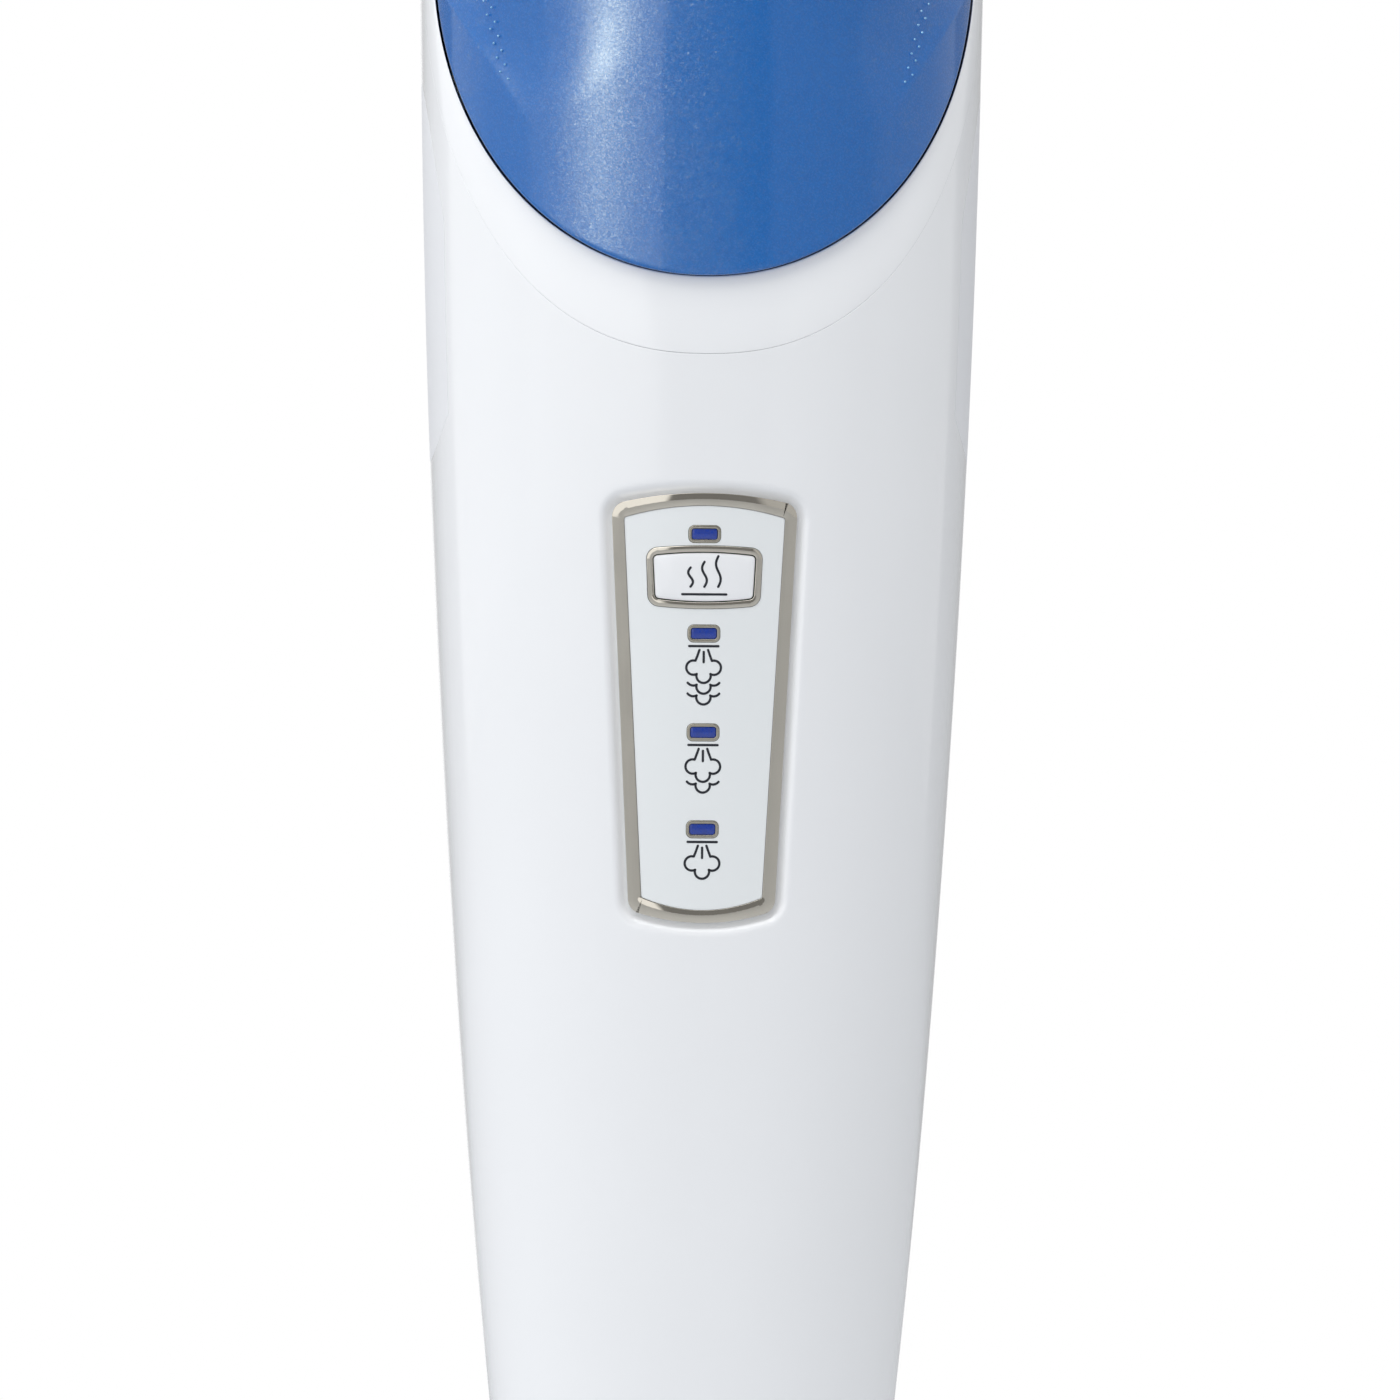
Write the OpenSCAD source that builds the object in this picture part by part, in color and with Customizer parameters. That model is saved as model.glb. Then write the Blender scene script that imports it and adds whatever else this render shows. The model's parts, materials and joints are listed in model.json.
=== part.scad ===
// Upright steam mop: a padded steam head, a two-axis neck, a body with a lift-off water tank and
// a control panel, and a tube that ends in a loop handle with a steam trigger.
// It stands on its pad. +Z is up and the front faces -Y. The origin is on the floor, under the
// middle of the head. All sizes are in millimetres.

/* [Head] */
// Width of the mop pad at its middle
pad_w = 300; // [280:1:320]
// Depth of the mop pad
pad_d = 190; // [184:1:200]
// Thickness of the mop pad
pad_t = 9; // [7:0.5:9]
// Height of the top of the head cover
cover_top = 38; // [34:0.5:39]

/* [Neck] */
// Height of the pitch axis above the floor
pitch_z = 55; // [54:0.5:57]
// Height of the side swivel axis above the floor
swivel_z = 135; // [133:0.5:137]
// Radius of the pitch pin
pitch_pin_r = 6; // [5:0.1:7]
// Radius of the swivel pin
swivel_pin_r = 5; // [4:0.1:6]

/* [Body] */
// Greatest width of the body
body_w = 119; // [117:0.5:121]
// Greatest depth of the body in front of its middle plane
body_front = 50; // [49:0.5:52]
// Greatest depth of the body behind its middle plane
body_rear = 44; // [43:0.5:46]
// Height of the body's lower rim
body_bottom = 150; // [149:0.5:151]
// Height at which the shells end
body_top = 690; // [686:1:694]
// Wall thickness of the shells
wall = 2.4; // [2:0.1:2.6]
// Squareness of the body's cross-section, 2 is an ellipse
body_power = 2.3; // [2.2:0.05:2.5]

/* [Tank] */
// Height of the tank's lowest point
tank_tip = 501; // [500:0.5:502]
// Height of the tank's top
tank_top = 688; // [680:1:692]
// Half width of the tank at its straight sides
tank_half_w = 56.9; // [56.4:0.1:57.2]
// Distance that the tank is lifted to come off
tank_travel = 70; // [40:1:90]

/* [Control panel] */
// Height of the middle of the panel
panel_z = 410.5; // [408:0.5:413]
// Height of the panel
panel_h = 90; // [88:0.5:92]
// Width of the panel at its top corners
panel_top_w = 39; // [38:0.5:40]
// Width of the panel at its bottom corners
panel_bottom_w = 30.6; // [30:0.2:32]
// Width of the bright frame round the panel
frame_band = 2.6; // [2.2:0.1:3]

/* [Handle] */
// Outside diameter of the handle tube
tube_d = 28; // [27:0.2:28]
// Distance of the handle tube behind the middle plane
tube_y = 18; // [17.5:0.5:18.5]
// Overall height of the mop
mop_h = 1150; // [1130:1:1170]
// Height of the middle of the loop above its lowest point
loop_half_h = 75; // [70:1:80]
// Half depth of the loop's centre line
loop_half_d = 38; // [36:1:40]

/* [Hidden] */
$fn = 64;
fine = 0.05;   // radial clearance of a pin in its bearing
gap = 0.3;     // gap between neighbouring covers
eps = 0.01;    // overlap that joins solids of one piece

WHITE = [0.93, 0.94, 0.95];
GREY = [0.45, 0.46, 0.48];
DARK = [0.12, 0.12, 0.13];
BLUE = [0.03, 0.36, 0.72];
CHROME = [0.80, 0.79, 0.76];
ALUMINIUM = [0.72, 0.73, 0.75];
RUBBER = [0.16, 0.16, 0.17];

// ---- Body outline: [height, share of the greatest size] ----
WIDTH_SHARES = [[150, 0.437], [205, 0.588], [264, 0.718], [350, 0.845], [460, 0.951],
    [560, 0.998], [640, 1], [700, 0.95]];
FRONT_SHARES = [[150, 0.48], [205, 0.61], [264, 0.72], [350, 0.84], [460, 0.94], [560, 1],
    [640, 1], [700, 0.95]];
REAR_SHARES = [[150, 0.545], [205, 0.63], [264, 0.705], [350, 0.795], [460, 0.886], [560, 0.955],
    [640, 1], [700, 0.98]];

// Slope of the smooth curve through stations s at station i
function slope(s, i) =
    let(a = max(i - 1, 0), b = min(i + 1, len(s) - 1)) (s[b][1] - s[a][1]) / (s[b][0] - s[a][0]);

// Index of the stretch of stations s that holds z
function stretch(s, z, i = 0) = (i >= len(s) - 2 || z < s[i + 1][0]) ? i : stretch(s, z, i + 1);

// Value at z of the smooth curve through stations s
function along(s, z) =
    let(i = stretch(s, z), h = s[i + 1][0] - s[i][0], t = (z - s[i][0]) / h)
    (2 * t^3 - 3 * t^2 + 1) * s[i][1] + (t^3 - 2 * t^2 + t) * h * slope(s, i)
    + (3 * t^2 - 2 * t^3) * s[i + 1][1] + (t^3 - t^2) * h * slope(s, i + 1);

function half_w(z) = body_w / 2 * along(WIDTH_SHARES, z);
function front_d(z) = body_front * along(FRONT_SHARES, z);
function rear_d(z) = body_rear * along(REAR_SHARES, z);

// Power that keeps the sign of its base
function sign_pow(v, p) = sign(v) * pow(abs(v), p);

// Point of the body's surface at height z. Angle t is 0 at the front and 180 at the rear.
function body_point(z, t, inset = 0) =
    let(d = cos(t) > 0 ? front_d(z) : rear_d(z), p = 2 / body_power)
    [(half_w(z) - inset) * sign_pow(sin(t), p), -(d - inset) * sign_pow(cos(t), p), z];

// Depth of the body's front surface at x and z
function front_y(x, z) =
    -front_d(z) * pow(max(0, 1 - pow(min(1, abs(x) / half_w(z)), body_power)), 1 / body_power);

// ---- Shared shapes ----
function flat(lists) = [for (l = lists) each l];
function two(a, b, c, d) = [[a, b, c], [a, c, d]];

// Solid between two grids of points, as a wall is. Rows run along the wall, and a closed wall's
// last column meets its first.
module sheet_solid(outer, inner, closed = false) {
    rows = len(outer);
    cols = len(outer[0]);
    n = rows * cols;
    last = closed ? cols - 1 : cols - 2;
    function at(side, r, c) = side * n + r * cols + c % cols;
    faces = concat(
        [for (r = [0:rows - 2], c = [0:last])
            each two(at(0, r, c), at(0, r + 1, c), at(0, r + 1, c + 1), at(0, r, c + 1))],
        [for (r = [0:rows - 2], c = [0:last])
            each two(at(1, r, c), at(1, r, c + 1), at(1, r + 1, c + 1), at(1, r + 1, c))],
        [for (c = [0:last]) each two(at(0, 0, c), at(0, 0, c + 1), at(1, 0, c + 1), at(1, 0, c))],
        [for (c = [0:last]) each two(at(1, rows - 1, c), at(1, rows - 1, c + 1),
            at(0, rows - 1, c + 1), at(0, rows - 1, c))],
        closed ? [] : [for (r = [0:rows - 2])
            each two(at(1, r, 0), at(1, r + 1, 0), at(0, r + 1, 0), at(0, r, 0))],
        closed ? [] : [for (r = [0:rows - 2]) each two(at(0, r, cols - 1),
            at(0, r + 1, cols - 1), at(1, r + 1, cols - 1), at(1, r, cols - 1))]
    );
    polyhedron(concat(flat(outer), flat(inner)), faces);
}

// Solid through closed rings of points, with a flat convex cap at each end, or with its last
// ring joined to its first
module loft(rings, joined = false) {
    rows = len(rings);
    cols = len(rings[0]);
    function at(r, c) = (r % rows) * cols + c % cols;
    sides = [for (r = [0:rows - (joined ? 1 : 2)], c = [0:cols - 1])
        each two(at(r, c), at(r + 1, c), at(r + 1, c + 1), at(r, c + 1))];
    caps = joined ? [] : concat(
        [for (c = [1:cols - 2]) [at(0, 0), at(0, c), at(0, c + 1)]],
        [for (c = [1:cols - 2]) [at(rows - 1, 0), at(rows - 1, c + 1), at(rows - 1, c)]]);
    polyhedron(flat(rings), concat(sides, caps));
}

function unit(v) = v / norm(v);

// Round bar of radius r along a list of points
module bar(points, r, sides = 8) {
    last = len(points) - 1;
    function side_of(d) = unit(cross(d, abs(unit(d)[0]) < 0.9 ? [1, 0, 0] : [0, 1, 0]));
    loft([for (i = [0:last])
        let(d = points[min(i + 1, last)] - points[max(i - 1, 0)], u = side_of(d),
            v = unit(cross(d, u)))
        [for (k = [0:sides - 1])
            points[i] + r * (cos(360 * k / sides) * u + sin(360 * k / sides) * v)]]);
}

// Points of a smooth curve from a to b that leaves along da and arrives along db
function curve(a, b, da, db, n) =
    [for (i = [0:n]) let(t = i / n) (2 * t^3 - 3 * t^2 + 1) * a + (t^3 - 2 * t^2 + t) * da
        + (3 * t^2 - 2 * t^3) * b + (t^3 - t^2) * db];

// Cylinders along X and Y, from a to b
module rod_x(r, a, b) translate([a, 0, 0]) rotate([0, 90, 0]) cylinder(r = r, h = b - a);
module rod_y(r, a, b) translate([0, a, 0]) rotate([-90, 0, 0]) cylinder(r = r, h = b - a);
module ring_z(outer, inner, h) difference() {
    cylinder(r = outer, h = h);
    translate([0, 0, -1]) cylinder(r = inner, h = h + 2);
}

// Corner p of an outline between neighbours a and b, rounded to radius r in n steps
function corner(p, a, b, r, n) =
    let(u = unit(a - p), v = unit(b - p), half = acos(u * v) / 2,
        centre = p + unit(u + v) * r / sin(half), from = p + u * r / tan(half) - centre,
        to = p + v * r / tan(half) - centre, start = atan2(from[1], from[0]),
        turn = (atan2(to[1], to[0]) - start + 540) % 360 - 180)
    [for (i = [0:n]) centre + r * [cos(start + turn * i / n), sin(start + turn * i / n)]];

// Outline with its corners rounded, where radii has one radius for each point
function rounded(points, radii, n = 5) =
    let(m = len(points)) [for (i = [0:m - 1]) each radii[i] == 0 ? [points[i]] :
        corner(points[i], points[(i + m - 1) % m], points[(i + 1) % m], radii[i], n)];

function rounded_box(w, h, r) =
    rounded([[-w / 2, -h / 2], [w / 2, -h / 2], [w / 2, h / 2], [-w / 2, h / 2]], [r, r, r, r]);

// ---- Head ----
head_steps = 72;
head_power = 3.4;
plate_z = pad_t + 1.2;   // underside of the base plate
deck_z = 16;             // top of the base plate

// Rounded, slightly tapered outline of the head, inset from the pad's edge
function head_outline(inset, z = 0, steps = head_steps) =
    [for (i = [0:steps - 1]) let(t = 360 * i / steps, p = 2 / head_power,
        s = sign_pow(sin(t), p), c = sign_pow(cos(t), p))
        [(pad_w / 2 - inset) * c * (1 - 0.03 * s), (pad_d / 2 - inset) * s, z]];
function plan(points) = [for (p = points) [p[0], p[1]]];

module mop_pad() {
    color([0.90, 0.91, 0.93])
    linear_extrude(pad_t) polygon(plan(head_outline(0)));
}

module pad_hook_strips() {
    color(WHITE)
    for (y = [-62, 0, 62])
        translate([-95, y - 11, pad_t]) cube([190, 22, 1.2]);
}

screw_spots = [[-24, -20], [24, -20], [-24, 20], [24, 20]];
steam_spots = [for (x = [-60, -20, 20, 60]) [x, -40]];

module head_base_plate() {
    color(GREY)
    difference() {
        translate([0, 0, plate_z]) linear_extrude(deck_z - plate_z)
            polygon(plan(head_outline(10)));
        for (p = screw_spots) translate([p[0], p[1], plate_z - 1]) {
            cylinder(r = 1.7, h = 20);
            cylinder(r = 3.4, h = 3);
        }
        for (p = steam_spots) translate([p[0], p[1], plate_z - 1]) cylinder(r = 2, h = 20);
    }
}

module head_bumper() {
    color(GREY)
    difference() {
        translate([0, 0, 12]) linear_extrude(7) polygon(plan(head_outline(3.5)));
        translate([0, 0, 11]) linear_extrude(9) polygon(plan(head_outline(6.7)));
    }
}

module steam_manifold() {
    color(DARK)
    difference() {
        union() {
            translate([-70, -50, deck_z + 0.1]) cube([140, 20, 7]);
            translate([0, 0, deck_z + 3.6]) rod_y(2.8, -30 - eps, -25.1);
        }
        translate([-67, -47, deck_z]) cube([134, 14, 5]);
        translate([0, 0, deck_z + 3.6]) rod_y(1.6, -34, -24);
    }
}

ear_in = 16.6;    // inner face of the pivot block's ears
ear_out = 24.5;   // outer face of the ears
barrel_r = 13;

module pivot_block() {
    color(DARK)
    difference() {
        union() {
            translate([-30, -25, deck_z + 0.1]) cube([60, 50, 5.9]);
            for (s = [-1, 1]) {
                x = s > 0 ? ear_in : -ear_out;
                translate([x, -barrel_r, deck_z + 2])
                    cube([ear_out - ear_in, 2 * barrel_r, pitch_z - deck_z - 2]);
                translate([0, 0, pitch_z]) rod_x(barrel_r, x, x + ear_out - ear_in);
            }
        }
        translate([0, 0, pitch_z]) rod_x(pitch_pin_r + fine, -40, 40);
        for (p = screw_spots) translate([p[0], p[1], deck_z - 1]) cylinder(r = 1.6, h = 7.5);
    }
}

module head_screws() {
    color(CHROME)
    for (p = screw_spots) translate([p[0], p[1], plate_z + 0.3]) {
        cylinder(r = 3.1, h = 1.6);
        cylinder(r = 1.55, h = 10.5);
    }
}

cover_rows = 9;
neck_hole = [27.5, 17];   // half size of the opening in the head cover

// Ring of the head cover, from its rim at share 0 to the neck opening at share 1
function cover_ring(share, drop) =
    let(rise = 1 - pow(1 - share, 2.3), rim = head_outline(7 + drop, 0, 48),
        hole_p = 2 / 5)
    [for (i = [0:47]) let(t = 360 * i / 48,
        h = [(neck_hole[0] + drop) * sign_pow(cos(t), hole_p),
            (neck_hole[1] + drop) * sign_pow(sin(t), hole_p), 0],
        p = rim[i] * (1 - share) + h * share)
        [p[0], p[1], deck_z + 1 + (cover_top - deck_z - 1) * rise - (share > 0 ? drop : 0)]];

module head_cover() {
    color(WHITE)
    sheet_solid(
        concat([[for (p = head_outline(7, 12, 48)) p]],
            [for (r = [0:cover_rows]) cover_ring(r / cover_rows, 0)]),
        concat([[for (p = head_outline(9.2, 12, 48)) p]],
            [for (r = [0:cover_rows]) cover_ring(r / cover_rows, 2.2)]), true);
}

module pitch_pin() {
    color(ALUMINIUM)
    translate([0, 0, pitch_z]) difference() {
        rod_x(pitch_pin_r, -ear_out + 0.4, ear_out - 0.4);
        rod_x(pitch_pin_r - 2, -40, 40);
    }
}

// ---- Neck ----
stem_half = 11;      // half width of the yoke's stem
tongue_y = 10.9;     // half thickness of the yoke's tongue
pipe_r = 3;

module neck_yoke() {
    color(GREY)
    difference() {
        union() {
            translate([0, 0, pitch_z]) rod_x(barrel_r, -15.9, 15.9);
            translate([-stem_half, -tongue_y, pitch_z])
                cube([2 * stem_half, 2 * tongue_y, swivel_z - pitch_z]);
            translate([0, 0, swivel_z]) rod_y(barrel_r, -tongue_y, tongue_y);
        }
        translate([0, 0, pitch_z]) rod_x(pitch_pin_r + fine, -20, 20);
        translate([0, 0, swivel_z]) rod_y(swivel_pin_r + fine, -20, 20);
        translate([0, 0, pitch_z]) cylinder(r = pipe_r + fine, h = swivel_z - pitch_z);
    }
}

// Half of the sleeve round the neck, in front for side -1 and behind for side 1
module neck_cover(side) {
    steps = 16;
    color(WHITE)
    translate([0, 0, pitch_z + 19]) linear_extrude(swivel_z - pitch_z - 38)
        polygon(concat(
            [for (i = [0:steps]) let(t = 180 * i / steps)
                [17 * sign_pow(cos(t), 0.8), side * (0.1 + 17.5 * sign_pow(sin(t), 0.8))]],
            [[-11.3, side * 0.1], [-11.3, side * 11.2], [11.3, side * 11.2], [11.3, side * 0.1]]));
}
module neck_cover_front() neck_cover(-1);
module neck_cover_rear() neck_cover(1);

module neck_steam_pipe() {
    color(ALUMINIUM)
    translate([0, 0, pitch_z + pitch_pin_r + 0.4])
        ring_z(pipe_r, 2, swivel_z - pitch_z - pitch_pin_r - swivel_pin_r - 0.8);
}

module neck_washers() {
    color(RUBBER)
    translate([0, 0, pitch_z]) for (x = [-16.55, 15.95]) difference() {
        rod_x(11, x, x + 0.6);
        rod_x(pitch_pin_r + 0.1, x - 1, x + 2);
    }
}

// ---- Body: lower bearing ----
bracket_y = 17.8;   // outer face of the bracket's ears

module swivel_bracket() {
    color(DARK)
    difference() {
        union() {
            translate([-14, -bracket_y, body_bottom]) cube([28, 2 * bracket_y, 20]);
            for (s = [-1, 1]) {
                y = s > 0 ? tongue_y + gap : -bracket_y;
                translate([-barrel_r, y, swivel_z])
                    cube([2 * barrel_r, bracket_y - tongue_y - gap, body_bottom - swivel_z + 2]);
                translate([0, 0, swivel_z]) rod_y(barrel_r, y, y + bracket_y - tongue_y - gap);
            }
        }
        translate([0, 0, swivel_z]) rod_y(swivel_pin_r + fine, -30, 30);
        translate([0, 0, body_bottom - 1]) cylinder(r = 3.5, h = 30);
    }
}

module swivel_pin() {
    color(ALUMINIUM)
    translate([0, 0, swivel_z]) difference() {
        rod_y(swivel_pin_r, -bracket_y + 0.4, bracket_y - 0.4);
        rod_y(swivel_pin_r - 2, -30, 30);
    }
}

// ---- Body: shells ----
rear_rows = 24;      // rows of the rear shell; the front shell has the lowest ones
front_rows = 19;
function row_z(r) = body_bottom + (body_top - body_bottom) * r / rear_rows;
lens_low = 462;        // the side flank shows between these heights
lens_high = 542;
lens_low_round = 10;   // height over which its lower end rounds off
lens_high_taper = 29;  // height over which its upper end tapers
lens_angle = 22.5;     // how far forward the flank reaches

// Angle at which the front and rear shells meet
function parting(z) = 90 - lens_angle * sqrt(max(0,
    min(1, (z - lens_low) / lens_low_round, (lens_high - z) / lens_high_taper)));

// The U-shaped edge at the bottom of the tank: points from the left arm round to the right arm.
// a is its half width, tip its lowest height, b its height up to the straight arms.
function u_edge(a, tip, b, power, top, steps = 28) = concat(
    [[-a, top]],
    [for (i = [0:steps]) let(t = -90 + 180 * i / steps, p = 2 / power)
        [a * sign_pow(sin(t), p), tip + b - b * sign_pow(cos(t), p)]],
    [[a, top]]);

inner_rise = 68;      // height of the tank's curved edge
function inner_u(grow, top) =
    u_edge(tank_half_w + grow, tank_tip - grow, inner_rise, 2.1, top);
outer_rise = 90;      // height of the collar's curved outer edge
collar_drop = 16.4;   // width of the collar below the tank's tip
function outer_u(grow, top) =
    u_edge(body_w / 2 - 0.2 + grow, tank_tip - collar_drop - grow, outer_rise, 2.3, top);

module u_prism(points, from_y, to_y) {
    translate([0, to_y, 0]) rotate([90, 0, 0]) linear_extrude(to_y - from_y) polygon(points);
}

// Solid of the body between two heights, inset from its surface, up to angle t each side
module body_solid(low, high, inset, rows, steps = 32) {
    loft([for (r = [0:rows]) let(z = low + (high - low) * r / rows)
        [for (i = [0:steps - 1]) body_point(z, 360 * i / steps, inset)]]);
}

panel_tilt = atan((front_d(panel_z + 40) - front_d(panel_z - 40)) / 80);
panel_y = -front_d(panel_z);
panel_r = 95;        // radius of the panel's own curve

// Places children on the panel: x to the right, z up along the panel, y into the body
module on_panel() translate([0, panel_y, panel_z]) rotate([panel_tilt, 0, 0]) children();

// Outline extruded into the panel and cut to its curve, from depth a to depth b
module panel_layer(points, a, b) {
    intersection() {
        rotate([90, 0, 0]) translate([0, 0, -12]) linear_extrude(16) polygon(points);
        translate([0, panel_r, -80]) difference() {
            cylinder(r = panel_r - a, h = 160, $fn = 96);
            translate([0, 0, -1]) cylinder(r = panel_r - b, h = 162, $fn = 96);
        }
    }
}

// Arched, tapering outline of the panel, grown by g
function panel_outline(g) =
    let(top = panel_h / 2 + g, low = -panel_h / 2 - g, wt = panel_top_w / 2 + g,
        wb = panel_bottom_w / 2 + g, rise = 2.6, n = 6)
    rounded(concat(
        [for (i = [0:n]) let(s = 1 - 2 * i / n) [wt * s, top - rise * s * s]],
        [for (i = [0:n]) let(s = -1 + 2 * i / n) [wb * s, low + rise * s * s]]),
        [for (i = [0:2 * n + 1]) i % (n + 1) == 0 || i % (n + 1) == n ? 3.2 + g : 0]);

module front_shell() {
    cols = 22;
    function grid(inset) = [for (r = [0:front_rows]) let(z = row_z(r))
        [for (c = [0:cols]) body_point(z, parting(z) * (2 * c / cols - 1), inset)]];
    color(WHITE)
    difference() {
        sheet_solid(grid(0), grid(wall));
        u_prism(outer_u(0.2, 600), -80, 20);
        on_panel() panel_layer(panel_outline(2), -5, 1.6);
        on_panel() translate([-12, -5, -38]) cube([24, 20, 78]);
    }
}

screw_heights = [340, 440, 540];

module rear_shell() {
    cols = 20;
    function grid(inset) = [for (r = [0:rear_rows]) let(z = row_z(r), start = parting(z) + 0.4)
        [for (c = [0:cols]) body_point(z, start + (360 - 2 * start) * c / cols, inset)]];
    color(WHITE)
    difference() {
        sheet_solid(grid(0), grid(wall));
        for (z = screw_heights) translate([0, 0, z]) {
            rod_y(1.7, 20, 60);
            rod_y(3.4, rear_d(z) - 1.2, 60);
        }
        translate([0, 0, hook_low_z]) rod_y(3.1, 20, 60);
        translate([0, 0, snap_z]) rod_y(snap_r + 0.3, 20, 60);
    }
}

module tank_collar() {
    band_top = 640;
    steps = 32;
    inner = inner_u(0.35, band_top);
    outer = outer_u(0, band_top);
    // Section of the collar at one place along its U
    function section(o, i) =
        let(xo = min(abs(o[0]), half_w(o[1])), side = sign(o[0]), yo = front_y(xo, o[1]),
            yi = front_y(i[0], i[1]) + 2.2, k = pow(xo / half_w(o[1]), 4))
        [[side * (xo - 2.1 * k), yo + 3 * (1 - k), o[1]], [i[0], min(yi, -6) + 3, i[1]],
            [i[0], min(yi, -6), i[1]], [side * xo, yo, o[1]]];
    color(WHITE)
    difference() {
        loft([for (n = [0:len(inner) - 1]) section(outer[n], inner[n])]);
        translate([-100, -0.2, 400]) cube([200, 50, 400]);
    }
}

dock_y = -23;        // axis of the tank's valve
chamber_r = 15.6;

// Wall behind the tank, just inside the rear shell
module bay_back() {
    side = [for (z = [500:19:body_top]) [half_w(z) - wall - 1.5, z]];
    translate([0, -0.4, 0]) rotate([90, 0, 0]) linear_extrude(2)
        polygon(concat(side, [for (i = [len(side) - 1:-1:0]) [-side[i][0], side[i][1]]]));
}

module tank_bay() {
    color(WHITE)
    difference() {
        union() {
            intersection() {
                u_prism(inner_u(2.6, 600), -60, -0.4);
                body_solid(478, 560, 6, 5);
            }
            bay_back();
            translate([0, dock_y, 473]) cylinder(r = chamber_r + 1.8, h = 30);
            translate([0, dock_y, 462]) cylinder(r = 4.5, h = 12);
        }
        u_prism(inner_u(0.6, 600), -80, -2.4);
        translate([0, dock_y, 476]) cylinder(r = chamber_r, h = 40);
        translate([0, dock_y, 460]) cylinder(r = 3, h = 20);
    }
    color(WHITE)
    translate([0, dock_y, 474]) {
        translate([-3.2, -0.5, 0]) cube([6.4, 1, 2]);
        cylinder(r = 1.2, h = 6.4);
    }
}

module top_cover() {
    rows = 8;
    color(WHITE)
    difference() {
        loft([for (r = [0:rows])
            let(s = r / rows, z = body_top + 0.3 + 42 * s, blend = 1 - pow(1 - s, 2),
                w = 56 * (1 - blend) + 19.5 * blend, rear = 42.5 * (1 - blend) + 36 * blend)
            [for (i = [0:31]) let(t = 360 * i / 32, y = -sign_pow(cos(t), 0.85),
                mid = (rear - 1.8) / 2)
                [w * sign_pow(sin(t), 0.85), mid + (mid + 1.4) * y, z]]]);
        translate([0, tube_y, body_top - 5]) cylinder(r = tube_d / 2 + 0.2, h = 60);
        translate([0, 0, snap_z]) rod_y(snap_r + 0.3, 20, 60);
    }
}

// ---- Body: inside ----
socket_low = 596;
snap_z = 672;
snap_r = 4;
hook_low_z = 640;

module chassis() {
    color(GREY)
    difference() {
        union() {
            translate([-18, 24, 302]) cube([36, 3, 310]);
            translate([-18, -16, 321]) cube([36, 41, 4]);
            translate([-18, -16, 405]) cube([36, 41, 4]);
            translate([0, tube_y, socket_low]) cylinder(r = tube_d / 2 + 3.2, h = body_top - socket_low - 2);
            for (z = screw_heights) translate([0, 0, z]) rod_y(4, 24, rear_d(z) - wall - 0.4);
        }
        translate([0, tube_y, socket_low + 4]) cylinder(r = tube_d / 2 + fine, h = 100);
        translate([0, tube_y, socket_low - 1]) cylinder(r = 9, h = 10);
        for (z = screw_heights) translate([0, 0, z]) rod_y(1.6, 20, 60);
        translate([0, 0, 315]) cylinder(r = 5, h = 100);
        translate([0, 0, snap_z]) rod_y(snap_r + 0.3, 20, 60);
        translate([0, 0, hook_low_z]) rod_y(3.1, 33, 60);
    }
}

boiler_low = 190;
boiler_h = 100;
boiler_r = 20;

module boiler() {
    color(ALUMINIUM)
    translate([0, 0, boiler_low]) difference() {
        union() {
            cylinder(r = boiler_r, h = boiler_h);
            translate([0, 0, -8]) cylinder(r = 4, h = 9);
            translate([8, 0, boiler_h - 1]) cylinder(r = 3.5, h = 9);
        }
        translate([0, 0, 5]) cylinder(r = 12, h = boiler_h - 10);
        translate([0, 0, -9]) cylinder(r = 2.2, h = 20);
        translate([8, 0, boiler_h - 10]) cylinder(r = 2, h = 30);
    }
}

module boiler_bands() {
    color(ALUMINIUM)
    for (z = [204, 274]) translate([0, 0, z]) {
        ring_z(boiler_r + 1.5, boiler_r + 0.05, 8);
        for (s = [-1, 1]) translate([s * (boiler_r + 3) - 2, -4, 0]) cube([4, 8, 8]);
    }
}

module thermostat() {
    color(DARK)
    translate([0, 0, 240]) {
        rod_y(7, -boiler_r - 5, -boiler_r - 0.1);
        translate([-9, -boiler_r - 6, -2]) cube([18, 2, 4]);
    }
}

pump_low = 330;

module pump_body() {
    color(DARK)
    translate([0, 0, pump_low]) difference() {
        union() {
            cylinder(r = 15, h = 70);
            translate([0, 0, -13]) cylinder(r = 3.4, h = 84);
            translate([0, 0, 69]) cylinder(r = 3.4, h = 13);
        }
        translate([0, 0, 12]) cylinder(r = 6 + fine, h = 46);
        translate([0, 0, -14]) cylinder(r = 1.8, h = 100);
    }
}

module pump_plunger() {
    color(ALUMINIUM)
    translate([0, 0, pump_low + 13]) ring_z(6, 1.8, 40);
}

module pump_mounts() {
    color(RUBBER)
    for (z = [325.1, 400.1]) translate([0, 0, z]) ring_z(11, 4, 4.7);
}

module dock_hose() {
    color([0.85, 0.86, 0.88])
    bar(curve([0, 0, 412.9], [0, dock_y, 461.1], [0, 0, 60], [0, 0, 60], 12), 4);
}

module boiler_hose() {
    color([0.85, 0.86, 0.88])
    bar(curve([8, 0, 298.9], [0, 0, 316.1], [0, 0, 22], [0, 0, 22], 8), 3.6);
}

module steam_hose() {
    color(RUBBER)
    translate([0, 0, body_bottom + 20.2]) ring_z(4.5, 2.5, boiler_low - 8 - body_bottom - 20.4);
}

module dock_seal() {
    color(RUBBER)
    translate([0, dock_y, 476.1]) ring_z(9.6, 6.6, 3);
}

// ---- Control panel ----
led_heights = [36.4, 15.6, -5.1, -25.4];   // above the panel's middle
button_up = 27.4;
led_size = [6.7, 3.6];
button_size = [24.4, 13.2];
button_band = 1.3;

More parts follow.
